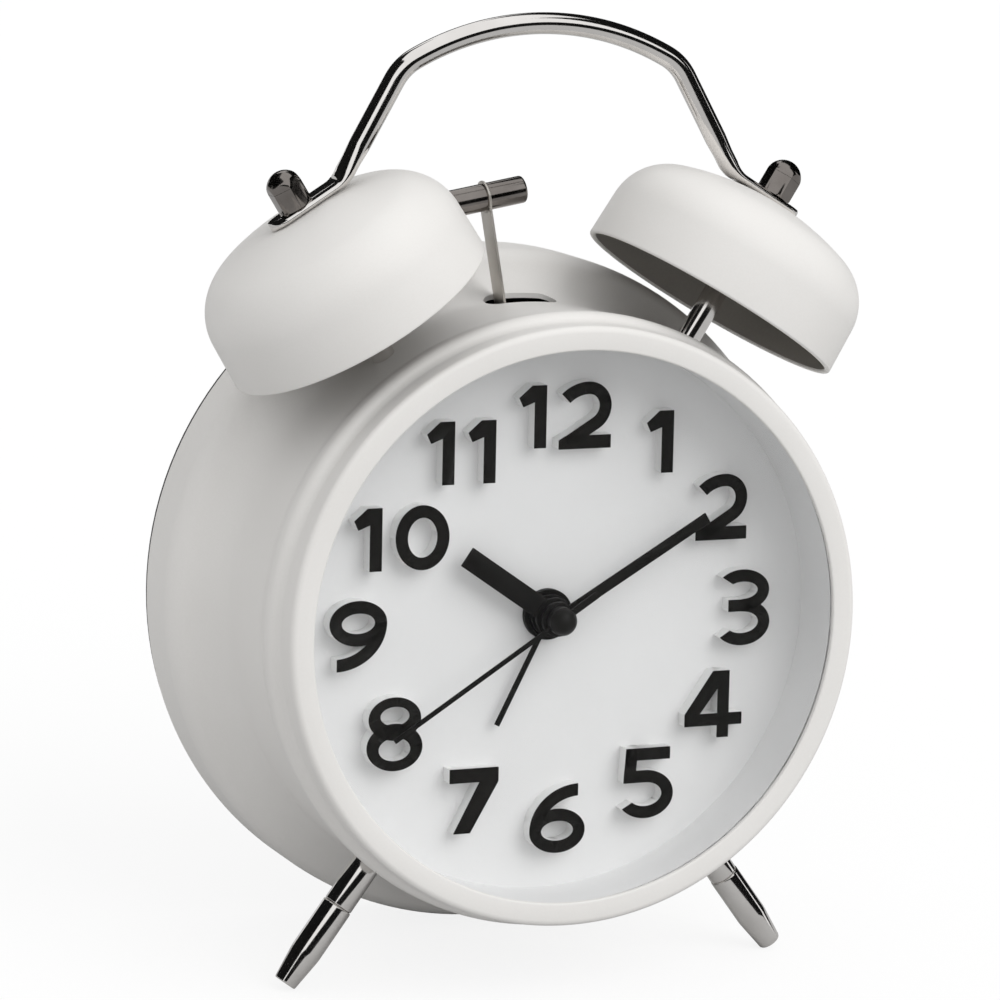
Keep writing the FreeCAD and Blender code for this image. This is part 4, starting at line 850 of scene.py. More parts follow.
class Pen:
    """Draws a flat stroke in the dial's plane, as the cut letters of a sign are laid out."""

    def __init__(self, bm: BMesh, at: Point, heading: float, width: float) -> None:
        """Starts a stroke.

        Args:
            bm: The mesh that it goes into.
            at: Its start, to the right and up, in millimetres.
            heading: Its direction in degrees above level right.
            width: Its width.
        """
        self.bm = bm
        self.at = Vector((at[0], 0.0, at[1]))
        self.heading = math.radians(heading)
        ends = [bm.verts.new(self.at + self.side() * width / side) for side in (2.0, -2.0)]
        self.front = bm.edges.new(ends)

    def ahead(self) -> Vector:
        """The stroke's direction."""
        return Vector((math.cos(self.heading), 0.0, math.sin(self.heading)))

    def side(self) -> Vector:
        """The direction to its left."""
        return Vector((-math.sin(self.heading), 0.0, math.cos(self.heading)))

    def straight(self, length: float, left: float = 0.0) -> "Pen":
        """Draws straight on.

        Args:
            length: How far.
            left: How far the stroke's left side moves out at the end.

        Returns:
            This pen.
        """
        out = bmesh.ops.extrude_edge_only(self.bm, edges=[self.front])["geom"]
        verts = picked(BMVert, out)
        bmesh.ops.translate(self.bm, verts=verts, vec=self.ahead() * length)
        self.front = next(edge for edge in picked(BMEdge, out) if set(edge.verts) == set(verts))
        max(verts, key=lambda v: v.co.dot(self.side())).co += self.side() * left
        self.at += self.ahead() * length
        return self

    def curve(self, radius: float, degrees: float, steps: int) -> "Pen":
        """Draws an arc that turns right.

        Args:
            radius: Radius of the stroke's middle.
            degrees: How far it turns.
            steps: Its facets.

        Returns:
            This pen.
        """
        centre = self.at - self.side() * radius
        out = bmesh.ops.spin(
            self.bm, geom=[self.front, *self.front.verts], cent=centre, axis=(0.0, 1.0, 0.0),
            angle=math.radians(degrees), steps=steps, use_merge=False, use_duplicate=False,
        )
        self.front = picked(BMEdge, out["geom_last"])[0]
        self.heading -= math.radians(degrees)
        self.at = centre + self.side() * radius
        return self


@dataclass(frozen=True)
class Oval:
    """An oval round a point of the eight's middle line, in millimetres."""

    middle: float
    half_width: float
    half_height: float

    def draw(self, bm: BMesh) -> list[BMEdge]:
        """Draws the oval into a mesh and gives its edges."""
        size = Matrix.Diagonal((self.half_width, 1.0, self.half_height, 1.0))
        made = bmesh.ops.create_circle(
            bm, cap_ends=False, segments=64, radius=1.0,
            matrix=shifted(0.0, 0.0, self.middle) @ size @ turned(90.0, "X"),
        )
        return edges_at(made["verts"])


@dataclass
class Numerals:
    """The twelve raised numerals, with the two and the eight drawn anew."""

    shop: Workshop
    pen_width: float = 2.05
    bowl_start: Point = (-3.45, 2.85)
    bowl_heading: float = 43.8
    bowl_arcs: tuple[tuple[float, float, int], ...] = (
        (5.9, 43.8, 10), (2.95, 90.0, 18), (3.4, 58.5, 10)
    )
    neck: float = 6.1
    foot_start: Point = (-4.6, -4.82)
    foot_width: float = 1.5
    foot_runs: tuple[Point, ...] = ((1.2, 0.7), (8.0, 0.0))
    eight_rings: tuple[tuple[Oval, Oval], ...] = (
        (Oval(2.55, 4.55, 3.6), Oval(3.0, 2.55, 1.6)),
        (Oval(-2.2, 4.85, 3.95), Oval(-2.55, 2.8, 1.95)),
    )
    twos: tuple[Point, ...] = ((30.0, 17.0), (5.0, 33.4))
    eight_spot: Point = (-27.5, -18.1)
    reach: Point = (5.3, 6.5)
    corner: float = 0.4
    sharp: float = 40.0
    crease: float = 14.0

    def two(self, bm: BMesh) -> None:
        """Draws a two: an open bowl that runs into a slanting neck, on a level foot.

        Args:
            bm: The mesh that it goes into.
        """
        bowl = Pen(bm, self.bowl_start, self.bowl_heading, self.pen_width)
        for arc in self.bowl_arcs:
            bowl.curve(*arc)
        bowl.straight(self.neck)
        foot = Pen(bm, self.foot_start, 0.0, self.foot_width)
        for run in self.foot_runs:
            foot.straight(*run)

    def eight(self, bm: BMesh) -> None:
        """Draws an eight: a small ring on a larger one.

        Args:
            bm: The mesh that it goes into.
        """
        for outline, hole in self.eight_rings:
            bmesh.ops.bridge_loops(bm, edges=outline.draw(bm) + hole.draw(bm))

    def round_off(self, bm: BMesh, upright: bool, width: float) -> None:
        """Rounds off the edges that run front to back, or all others.

        Args:
            bm: The numerals, with the dial's plane upright.
            upright: True for the edges that run front to back.
            width: How far they are rounded off.
        """
        edges = []
        for edge in bm.edges:
            run = (edge.verts[0].co - edge.verts[1].co).normalized()
            turn = edge.calc_face_angle(0.0) if len(edge.link_faces) == 2 else 0.0
            if (abs(run.y) > 0.99) == upright and turn > math.radians(self.sharp):
                edges.append(edge)
        soften(bm, edges, width, 3, clamp=True)

    def build(self, node: str, name: str, slot: Slot, rounding: float) -> None:
        """Puts one layer of the numerals on the frame.

        Args:
            node: The CAD node that it replaces.
            name: The piece's name.
            slot: Its material slot.
            rounding: Width of its softened edges in millimetres.
        """
        bm = self.shop.copied(node)
        bmesh.ops.transform(bm, matrix=self.shop.stand.inverted(), verts=bm.verts)
        front = min(v.co.y for v in bm.verts)
        back = max(v.co.y for v in bm.verts)
        wide, tall = self.reach
        drawn = [(self.two, spot) for spot in self.twos] + [(self.eight, self.eight_spot)]
        for draw, (x, z) in drawn:
            old = [v for v in bm.verts if abs(v.co.x - x) < wide and abs(v.co.z - z) < tall]
            bmesh.ops.delete(bm, geom=old, context="VERTS")
            known = set(bm.verts)
            draw(bm)
            new = [v for v in bm.verts if v not in known]
            bmesh.ops.translate(bm, verts=new, vec=(x, front, z))
            faces = list({f for v in new for f in v.link_faces})
            out = bmesh.ops.extrude_face_region(bm, geom=faces, use_keep_orig=True)["geom"]
            bmesh.ops.translate(bm, verts=picked(BMVert, out), vec=(0.0, back - front, 0.0))
        bmesh.ops.recalc_face_normals(bm, faces=bm.faces)
        self.round_off(bm, True, self.corner)
        self.round_off(bm, False, rounding)
        self.shop.publish(bm, name, slot, Body.CASE, [node], sharp=self.crease)


@dataclass
class Front:
    """Window, spacer ring, dial and numerals."""

    shop: Workshop
    lens_r: float = 48.9
    lens_front: float = 0.8
    lens_back: float = 2.3
    lens_edge: float = 0.2
    ring_in: float = 46.4
    ring_out: float = 47.4
    ring_edge: float = 0.15
    lip_back: float = 3.5
    dial_y: float = 14.4

    def build(self) -> None:
        """Puts the front's pieces on the frame."""
        lens = Lathe(0.0, self.lens_front).line(
            (self.lens_r, self.lens_front, self.lens_edge),
            (self.lens_r, self.lens_back, self.lens_edge), (0.0, self.lens_back),
        ).turned(128, False)
        self.shop.publish(lens, "window", Slot.WINDOW, Body.CASE, ["lens"])
        ring = Lathe(self.ring_in, self.lens_back).line(
            (self.lens_r, self.lens_back, self.ring_edge),
            (self.lens_r, self.lip_back, self.ring_edge), (self.ring_out, self.lip_back),
            (self.ring_out, self.dial_y), (self.ring_in, self.dial_y),
        ).turned(160, True)
        self.shop.publish(ring, "window_ring", Slot.DIAL, Body.CASE, ["spacer_ring"])
        self.shop.dress(Slot.DIAL, "dial")
        numerals = Numerals(self.shop)
        numerals.build("numeral_blocks", "numeral_risers", Slot.NUMERAL_SIDE, 0.05)
        numerals.build("numeral_faces", "numeral_caps", Slot.NUMERAL_FACE, 0.08)


@dataclass
class Hands:
    """The four hands, the needle's domed cap and the ring round their bush."""

    shop: Workshop
    rounding: float = 0.07
    cap_r: float = 2.3
    cap_front: float = 4.9
    cap_back: float = 7.6
    ring_in: float = 3.4
    ring_out: float = 4.25
    ring_front: float = 13.3
    ring_back: float = 14.4
    ring_edge: float = 0.12

    def build(self) -> None:
        """Puts each hand on its own arbor or pipe, then the cap and the ring."""
        for node, name, body in (
            ("alarm_hand", "alarm_pointer", Body.POINTER),
            ("hour_hand", "hour_baton", Body.HOUR),
            ("minute_hand", "minute_baton", Body.MINUTE),
            ("second_hand", "second_needle", Body.SECONDS),
        ):
            self.shop.refine(node, name, Slot.HAND, body, self.rounding)
        cap = Lathe(0.0, self.cap_front).arc((0.0, self.cap_front + self.cap_r), 90.0, 14)
        cap.line((self.cap_r, self.cap_back), (0.0, self.cap_back))
        self.shop.publish(cap.turned(64, False), "needle_cap", Slot.HAND, Body.SECONDS, [])
        ring = Lathe(self.ring_in, self.ring_front).line(
            (self.ring_out, self.ring_front, self.ring_edge), (self.ring_out, self.ring_back),
            (self.ring_in, self.ring_back),
        )
        self.shop.publish(ring.turned(64, True), "bush_ring", Slot.HAND, Body.CASE, [])


@dataclass
class Bell:
    """One pressed bell, a thin dark liner inside it that paints the shade in its hollow, and its
    post.
    """

    shop: Workshop
    side: float
    label: str
    angle: float = 32.0
    depth: float = 21.4
    rim_d: float = 59.1
    rim_r: float = 23.35
    height: float = 19.8
    crown_rise: float = 0.25
    wall: float = 1.0
    shoulder_r: float = 9.9
    shoulder_c: float = 13.2
    shoulder_h: float = 7.8
    hole_r: float = 1.55
    rim_round: float = 0.42
    # Thickness of the thin dark liner that paints the shade inside the bell.
    shade_liner_thick: float = 0.06
    facets: int = 160
    post_r: float = 2.0
    post_edge: float = 0.15
    stud_r: float = 1.45
    stud_edge: float = 0.2
    waist_r: float = 50.7
    stud_low: float = 47.1
    stud_top: float = 83.85

    def cup(self, outer: float, inner: float, lip: float, rounding: float) -> BMesh:
        """Turns a bell-shaped wall, mouth down at the rim's distance from the dial axis.

        Args:
            outer: How far its outside lies inside the bell's outside.
            inner: How far its inside lies inside the bell's outside.
            lip: How far it stops short of the rim.
            rounding: How far its mouth's edges are rounded off.

        Returns:
            The wall.
        """
        crown = self.height + self.crown_rise
        drop = crown - self.shoulder_h
        dome = self.shoulder_r ** 2 - self.shoulder_c ** 2 - drop ** 2
        dome /= 2.0 * (self.shoulder_r - drop)
        base = crown - dome
        slope = math.asin((self.rim_r - self.shoulder_c - self.shoulder_r) / self.shoulder_h)
        meet = math.atan2(self.shoulder_h - base, self.shoulder_c)
        low = self.rim_d

        def shoulder(inset: float) -> Point:
            """Where the shoulder's arc meets the straight wall."""
            r = self.shoulder_r - inset
            return self.shoulder_c + r * math.cos(slope), self.shoulder_h + r * math.sin(slope)

        def mouth(inset: float) -> Point:
            """The wall's end at the mouth."""
            r, h = shoulder(inset)
            return r + h * math.tan(slope) - lip * math.tan(slope), low + lip

        def seat(inset: float) -> float:
            """Angle on the dome's arc where the flat seat starts."""
            return math.asin((self.height - inset - base) / (dome - inset))

        bend = math.degrees(meet - slope)
        lathe = Lathe(*mouth(outer), rounding)
        r, h = shoulder(outer)
        lathe.line((r, low + h)).arc((self.shoulder_c, low + self.shoulder_h), bend, 20)
        lathe.arc((0.0, low + base), math.degrees(seat(outer) - meet), 14)
        at, ball = seat(inner), dome - inner
        lathe.line(
            (self.hole_r, low + self.height - outer), (self.hole_r, low + self.height - inner),
            (ball * math.cos(at), low + base + ball * math.sin(at)),
        )
        lathe.arc((0.0, low + base), -math.degrees(at - meet), 10)
        lathe.arc((self.shoulder_c, low + self.shoulder_h), -bend, 16)
        return lathe.line((*mouth(inner), rounding)).turned(self.facets, True)

    def post(self) -> BMesh:
        """Turns the post with a thinner stud at each end."""
        top = self.rim_d + self.height - self.wall
        return Lathe(0.0, self.stud_low).line(
            (self.stud_r, self.stud_low, self.stud_edge), (self.stud_r, self.waist_r),
            (self.post_r, self.waist_r, self.post_edge), (self.post_r, top, self.post_edge),
            (self.stud_r, top), (self.stud_r, self.stud_top, self.stud_edge),
            (0.0, self.stud_top),
        ).turned(48, False)

    def build(self) -> None:
        """Puts bell, its dark liner of painted shade and post on the frame."""
        stood = radial(self.side * self.angle, self.depth)
        shell = self.cup(0.0, self.wall, 0.0, self.rim_round)
        # A thin dark liner just inside the wall: painted shade in the bell's hollow, dressed in the
        # iron finish.
        painted_shade_liner = self.cup(self.wall, self.wall + self.shade_liner_thick, self.rim_round, 0.0)
        for bm, name, slot, nodes in (
            (shell, f"bell_{self.label}_shell", Slot.ENAMEL, [f"bell_{self.label}"]),
            (painted_shade_liner, f"bell_{self.label}_inside", Slot.IRON, []),
            (self.post(), f"bell_{self.label}_pillar", Slot.CHROME, [f"bell_post_{self.label}"]),
        ):
            bmesh.ops.transform(bm, matrix=stood, verts=bm.verts)
            self.shop.publish(bm, name, slot, Body.CASE, nodes)


def station(centre: Vector, along: Vector, width: float, thick: float) -> Matrix:
    """Where a ring of the handle's bar stands.

    Args:
        centre: The ring's middle.
        along: Direction in which the bar runs on.
        width: The bar's size along the case's depth.
        thick: The bar's size across.

    Returns:
        The move from a ring of radius 1 in the XY plane.
    """
    across = Vector((-along.z, 0.0, along.x))
    rows = Matrix((Vector((0.0, 1.0, 0.0)) * width / 2, across * thick / 2, along)).transposed()
    return Matrix.Translation(centre) @ rows.to_4x4()


class Loft:
    """Draws a ring of edges on from place to place."""

    def __init__(self, place: Matrix) -> None:
        """Starts with a ring.

        Args:
            place: The move from a ring of radius 1 in the XY plane.
        """
        self.bm = bmesh.new()
        self.place = place
        verts = bmesh.ops.create_circle(
            self.bm, cap_ends=False, segments=40, radius=1.0, matrix=place
        )["verts"]
        self.ring = verts + edges_at(verts)

    def sweep(self, centre: Vector, angle: float, steps: int) -> None:
        """Turns the ring about an axis along the case's depth.

        Args:
            centre: A point of the axis.
            angle: How far, in radians.
            steps: Facets of the turn.
        """
        out = bmesh.ops.spin(
            self.bm, geom=self.ring, cent=centre, axis=(0.0, 1.0, 0.0), angle=angle, steps=steps,
            use_merge=False, use_duplicate=False,
        )
        self.ring = out["geom_last"]
        swing = Matrix.Rotation(angle, 4, "Y")
        self.place = shifted(*centre) @ swing @ shifted(*-centre) @ self.place

    def grow(self, to: Matrix) -> None:
        """Draws the ring on to its next place.

        Args:
            to: The move from a ring of radius 1 in the XY plane.
        """
        out = bmesh.ops.extrude_edge_only(self.bm, edges=picked(BMEdge, self.ring))["geom"]
        verts = picked(BMVert, out)
        new = set(verts)
        self.ring = verts + [edge for edge in picked(BMEdge, out) if set(edge.verts) <= new]
        bmesh.ops.transform(self.bm, matrix=to @ self.place.inverted(), verts=verts)
        self.place = to


@dataclass
class Handle:
    """Round bar bent over both bells, with its ends beaten flat, and the domed nuts on them."""

    shop: Workshop
    bell_angle: float = 32.0
    depth: float = 21.4
    rod_r: float = 1.8
    leg_in: float = 10.3
    leg_rise: float = 18.3
    crown_rise: float = 7.0
    high_bend: float = 9.0
    low_bend: float = 6.5
    press_run: float = 5.0
    press_at: float = 2.8
    press_size: Point = (1.10, 0.88)
    bend_width: float = 0.86
    bend_thick: Point = (1.9, 1.15)
    bend_steps: int = 8
    tab_d: float = 78.9
    tab_run: float = 8.5
    tab_overhang: float = 5.5
    tab_width: float = 5.6
    tab_thick: float = 1.6
    tab_straight: float = 4.0
    tab_turn: float = 82.0
    press_in: float = 0.6
    nut_across: float = 5.3
    nut_hex: float = 3.9
    nut_dome: float = 2.6
    nut_chamfer: float = 0.3
    nut_lip: float = 0.1
    nut_turn: Point = (6.0, 82.0)
    nut_steps: int = 12
    nut_d: float = 80.35
    merge: float = 0.005

    def bar(self) -> BMesh:
        """Draws the bent bar from its crown down to the right end, and mirrors it.

        Returns:
            The bar.
        """
        a = math.radians(self.bell_angle)
        level = self.tab_d + self.tab_thick / 2
        nut = Vector((level * math.sin(a), 0.0, level * math.cos(a)))
        tab_run = Vector((math.cos(a), 0.0, -math.sin(a)))
        foot = nut - tab_run * self.tab_run
        knee = foot + Vector((-self.leg_in, 0.0, self.leg_rise))
        top = Vector((0.0, 0.0, knee.z + self.crown_rise))
        fall = (foot - knee).normalized()
        turn = fall.angle(tab_run)
        stop = foot - fall * self.low_bend * math.tan(turn / 2)
        full = stop - fall * self.press_run

        arch_r = (knee.x ** 2 + self.crown_rise ** 2) / (2.0 * self.crown_rise)
        arch = Vector((0.0, 0.0, top.z - arch_r))
        side = Vector((fall.z, 0.0, -fall.x))
        start = full + side * self.high_bend - arch
        b = -start.dot(fall)
        run = -b + math.sqrt(b ** 2 - start.length_squared + (arch_r - self.high_bend) ** 2)
        hub = full + side * self.high_bend - fall * run
        over = math.atan2(hub.x - arch.x, hub.z - arch.z)
        down = math.atan2(-fall.z, fall.x)

        size = 2.0 * self.rod_r
        loft = Loft(station(top, Vector((1.0, 0.0, 0.0)), size, size))
        loft.sweep(arch, over, 28)
        loft.sweep(hub, down - over, 16)
        loft.grow(station(full, fall, size, size))
        wide, thin = self.press_size
        loft.grow(station(full + fall * self.press_at, fall, size * wide, size * thin))
        bend = stop - side * self.low_bend
        first, last = self.bend_thick
        for step in range(self.bend_steps + 1):
            share = step / self.bend_steps
            swing = Matrix.Rotation(-turn * share, 4, "Y")
            width = self.tab_width * (self.bend_width + (1.0 - self.bend_width) * share)
            thick = self.tab_thick * (first - (first - last) * share)
            loft.grow(station(bend + swing @ (stop - bend), swing @ fall, width, thick))
        tip = nut + tab_run * (self.tab_overhang - self.tab_width / 2)
        thick = self.tab_thick * last
        loft.grow(station(tip - tab_run * self.tab_straight, tab_run, self.tab_width, thick))
        for step in range(self.bend_steps + 1):
            angle = math.radians(self.tab_turn) * step / self.bend_steps
            centre = tip + tab_run * self.tab_width / 2 * math.sin(angle)
            loft.grow(station(centre, tab_run, self.tab_width * math.cos(angle), thick))
        bm = loft.bm
        bmesh.ops.contextual_create(bm, geom=picked(BMEdge, loft.ring))
        self.flatten(bm, nut, tab_run, foot)
        bmesh.ops.mirror(
            bm, geom=bm.verts[:] + bm.edges[:] + bm.faces[:], matrix=Matrix.Identity(4),
            merge_dist=self.merge, axis="X",
        )
        bmesh.ops.remove_doubles(bm, verts=bm.verts, dist=self.merge)
        bmesh.ops.recalc_face_normals(bm, faces=bm.faces)
        bmesh.ops.translate(bm, verts=bm.verts, vec=(0.0, self.depth, 0.0))
        return bm

    def flatten(self, bm: BMesh, nut: Vector, run: Vector, foot: Vector) -> None:
        """Presses the tab's top and bottom flat.

        Args:
            bm: The bar's right half.
            nut: Middle of the tab under the nut.
            run: The tab's direction.
            foot: Corner where the bar turns up.
        """
        across = Vector((-run.z, 0.0, run.x))
        reach = (foot - nut).dot(run) + self.press_in
        for vert in bm.verts:
            offset = vert.co - nut
            height = offset.dot(across)
            if offset.dot(run) > reach and abs(height) > self.tab_thick / 2:
                vert.co -= across * (height - math.copysign(self.tab_thick / 2, height))

    def nut(self) -> BMesh:
        """Draws a domed hex nut up from its seat, and rounds each level off to its limit.

        Returns:
            The nut.
        """
        corner = self.nut_across / math.sqrt(3.0)
        ball = (corner ** 2 + self.nut_dome ** 2) / (2.0 * self.nut_dome)
        low = self.nut_hex + self.nut_dome - ball
        levels = [
            (0.0, corner - self.nut_chamfer), (self.nut_chamfer, corner),
            (self.nut_hex - self.nut_lip, corner),
        ]
        first, run = self.nut_turn
        for step in range(self.nut_steps + 1):
            angle = math.radians(first + run * step / self.nut_steps)
            levels.append((low + ball * math.sin(angle), ball * math.cos(angle)))
        bm = bmesh.new()
        bmesh.ops.create_circle(bm, cap_ends=True, segments=6, radius=corner)
        bmesh.ops.subdivide_edges(bm, edges=bm.edges[:], cuts=7)
        ring = [edge for edge in bm.edges if edge.is_boundary]
        shape = {vert: vert.co.to_2d() for vert in bm.verts}
        for height, limit in levels:
            if height > 0.0:
                out = bmesh.ops.extrude_edge_only(bm, edges=ring)["geom"]
                verts = set(picked(BMVert, out))
                ring = [edge for edge in picked(BMEdge, out) if set(edge.verts) <= verts]
                below = {
                    v: next(e.other_vert(v) for e in v.link_edges if e.other_vert(v) in shape)
                    for v in verts
                }
                shape = {vert: shape[under] for vert, under in below.items()}
            for vert, flat in shape.items():
                scale = min(1.0, limit / flat.length)
                vert.co = (flat.x * scale, flat.y * scale, height)
        bmesh.ops.contextual_create(bm, geom=ring)
        bmesh.ops.recalc_face_normals(bm, faces=bm.faces)
        return bm

    def build(self) -> None:
        """Puts the bar and both nuts on the frame."""
        self.shop.publish(
            self.bar(), "carry_bar", Slot.CHROME, Body.CASE, ["handle"], sharp=50.0
        )
        pair = bmesh.new()
        for side in (-1.0, 1.0):
            one = self.nut()
            spot = turned(side * self.bell_angle, "Y") @ shifted(0.0, 0.0, self.nut_d)
            move = shifted(0.0, self.depth, 0.0) @ spot
            bmesh.ops.transform(one, matrix=move, verts=one.verts)
            add(pair, one)
        self.shop.publish(
            pair, "domed_nuts", Slot.DARK_NICKEL, Body.CASE, ["acorn_nuts"], sharp=24.0
        )


@dataclass
class Leg:
    """One splayed leg: bush, body and tapered foot."""

    shop: Workshop
    side: float
    label: str
    angle: float = 143.8
    depth: float = 17.2
    waist_r: float = 50.7
    stud_r: float = 1.45
    stud_low: float = 47.9
    collar_r: float = 2.5
    joint_d: float = 59.4
    edge: float = 0.2
    waist_edge: float = 0.15
    foot_r: float = 2.6
    foot_edge: float = 0.4
    taper_d: float = 68.9
    taper_round: float = 0.5
    tip_d: float = 74.9
    tip_r: float = 1.85
    tip_bevel: float = 0.1
    tip_round: float = 0.25
    facets: int = 56

    def collar(self) -> BMesh:
        """Turns the bush against the case, with the stud that passes its wall."""
        return Lathe(0.0, self.stud_low).line(
            (self.stud_r, self.stud_low, self.edge), (self.stud_r, self.waist_r),
            (self.collar_r, self.waist_r, self.waist_edge),
            (self.collar_r, self.joint_d, self.edge), (0.0, self.joint_d),
        ).turned(self.facets, False)

    def foot(self) -> BMesh:
        """Turns the foot with its long taper."""
        return Lathe(0.0, self.joint_d).line(
            (self.foot_r, self.joint_d, self.foot_edge),
            (self.foot_r, self.taper_d, self.taper_round),
            (self.tip_r + self.tip_bevel, self.tip_d - self.tip_bevel, self.tip_round),
            (self.tip_r, self.tip_d), (0.0, self.tip_d),
        ).turned(self.facets, False)

    def build(self) -> None:
        """Puts both parts of the leg on the frame."""
        stood = radial(self.side * self.angle, self.depth)
        for bm, name, node in (
            (self.collar(), f"leg_{self.label}_bush", f"leg_collar_{self.label}"),
            (self.foot(), f"leg_{self.label}_body", f"leg_foot_{self.label}"),
        ):
            bmesh.ops.transform(bm, matrix=stood, verts=bm.verts)
            self.shop.publish(bm, name, Slot.CHROME, Body.CASE, [node])


@dataclass
class Striker:
    """The swinging hammer and the pieces that drive it."""

    shop: Workshop
    depth: float = 28.7
    pivot_z: float = 30.5
    lean: float = -10.2
    radius: float = 38.2
    head_r: float = 2.3
    head_length: float = 14.0
    head_edge: float = 0.45
    strap_thick: float = 0.42
    strap_width: float = 4.6
    strap_edge: float = 0.07
    eye_wall: float = 0.45
    hub_r: float = 2.4
    hub_half: float = 3.3
    bore_r: float = 1.05
    tail: float = 4.3

    def across(self, bm: BMesh) -> None:
        """Lays a mesh that was turned about the Y axis across the hammer's upper end."""
        move = shifted(0.0, 0.0, self.radius) @ turned(-90.0, "Z")
        bmesh.ops.transform(bm, matrix=move, verts=bm.verts)

    def leant(self, bm: BMesh) -> BMesh:
        """Leans a mesh drawn straight up from the pivot to the hammer's rest position.

        Args:
            bm: The mesh.

        Returns:
            The same mesh.
        """
        move = shifted(0.0, self.depth, self.pivot_z) @ turned(self.lean, "Y")
        bmesh.ops.transform(bm, matrix=move, verts=bm.verts)
        return bm

    def head(self) -> BMesh:
        """Turns the round striker.

        Returns:
            The striker.
        """
        half = self.head_length / 2
        bm = Lathe(0.0, -half).line(
            (self.head_r, -half, self.head_edge), (self.head_r, half, self.head_edge), (0.0, half)
        ).turned(64, False)
        self.across(bm)
        return self.leant(bm)

    def strap(self) -> BMesh:
        """Makes the flat strip, with its hub on the pivot and a thin eye round the striker.

        Returns:
            The strip.
        """
        half = self.strap_thick / 2
        eye_r = self.head_r + self.eye_wall
        edge = self.strap_edge
        bm = Lathe(self.head_r, -half).line(
            (eye_r, -half, edge), (eye_r, half, edge), (self.head_r, half)
        ).turned(64, True)
        self.across(bm)
        hub = Lathe(self.bore_r, -self.hub_half).line(
            (self.hub_r, -self.hub_half, edge), (self.hub_r, self.hub_half, edge),
            (self.bore_r, self.hub_half),
        ).turned(48, True)
        add(bm, hub)
        inside = (self.bore_r + self.hub_r) / 2
        top = self.radius - math.sqrt(eye_r ** 2 - (self.strap_width / 2) ** 2)
        for low, high in ((inside, top), (-self.tail, -inside)):
            size = Matrix.Diagonal((self.strap_thick, self.strap_width, high - low, 1.0))
            place = shifted(0.0, 0.0, (low + high) / 2) @ size
            block = bmesh.ops.create_cube(bm, size=1.0, matrix=place)["verts"]
            soften(bm, edges_at(block), edge, 2)
        bmesh.ops.recalc_face_normals(bm, faces=bm.faces)
        return self.leant(bm)

    def build(self) -> None:
        """Puts the striker on the frame."""
        for bm, name, slot, node in (
            (self.head(), "striker_bar", Slot.DARK_NICKEL, "hammer_head"),
            (self.strap(), "striker_strap", Slot.STEEL, "hammer_arm"),
        ):
            self.shop.publish(bm, name, slot, Body.HAMMER, [node])
        self.shop.dress(Slot.MAGNET, "hammer_magnet")
        self.shop.dress(Slot.STEEL, "striker_frame", "hammer_pivot")
        self.shop.dress(Slot.IRON, "striker_core")
        self.shop.dress(Slot.COPPER, "striker_coil")


@dataclass
class Back:
    """Black cover with its knobs, switch, battery door and cells."""

    shop: Workshop
    rounding: float = 0.15

    def build(self) -> None:
        """Puts the back's pieces on the frame."""
        for node, name, slot, body in (
            ("rear_cover", "back_cover", Slot.COVER, Body.CASE),
            ("battery_door", "cell_door", Slot.COVER, Body.DOOR),
            ("time_set_knob", "time_knob", Slot.COVER, Body.TIME_SET),
            ("alarm_set_knob", "alarm_knob", Slot.COVER, Body.ALARM_SET),
            ("alarm_switch_button", "switch_button", Slot.COVER, Body.SWITCH),
            ("cover_screws", "back_screws", Slot.STEEL, Body.CASE),
        ):
            self.shop.refine(node, name, slot, body, self.rounding)
        self.shop.dress(Slot.CELL, "battery_cells")
        self.shop.dress(Slot.STEEL, "contact_plates", "contact_springs")
        self.shop.dress(Slot.MOVEMENT, "alarm_switch_body")


@dataclass
class Movement:
    """The quartz movement and the nuts inside the case."""

    shop: Workshop

    def build(self) -> None:
        """Dresses the movement's CAD nodes."""
        self.shop.dress(Slot.MOVEMENT, "movement_housing", "movement_cover")
        self.shop.dress(
            Slot.WHEEL, "alarm_wheel", "hour_wheel", "minute_pipe", "motion_wheel",
            "alarm_set_pinion", "seconds_wheel", "third_wheel", "rotor",
        )
        self.shop.dress(Slot.IRON, "stator")
        self.shop.dress(Slot.COPPER, "stepper_coil")
        self.shop.dress(Slot.BOARD, "circuit_board")
        self.shop.dress(Slot.STEEL, "post_nuts", "leg_nuts")


@dataclass(frozen=True)
class FeltCard:
    """A black card that only shows in bright metal, as photographers set round it.

    Its azimuth is in degrees from the front towards the right, its elevation in degrees above
    the clock's middle, and its distance, width and height are in metres.
    """

    name: str
    azimuth: float
    elevation: float
    away: float
    width: float
    height: float

    def hang(self, felt: bpy.types.Material) -> None:
        """Puts the card in the scene, facing the clock.

        Args:
            felt: Its material.
        """
        middle = Vector((0.0, 0.0, 0.1))
        turn = turned(self.azimuth, "Z") @ turned(-self.elevation, "X")
        place = middle + turn @ Vector((0.0, -self.away, 0.0))
        aim = (middle - place).to_track_quat("Z", "Y").to_matrix().to_4x4()
        bm = bmesh.new()
        bmesh.ops.create_grid(bm, x_segments=1, y_segments=1, size=0.5)
        bmesh.ops.scale(bm, vec=(self.width, self.height, 1.0), verts=bm.verts)
        bmesh.ops.transform(bm, matrix=Matrix.Translation(place) @ aim, verts=bm.verts)
        mesh = finished(bm, self.name)
        mesh.materials.append(felt)
        item = shown(self.name, mesh)
        item.visible_camera = False
        item.visible_diffuse = False
        item.visible_shadow = False


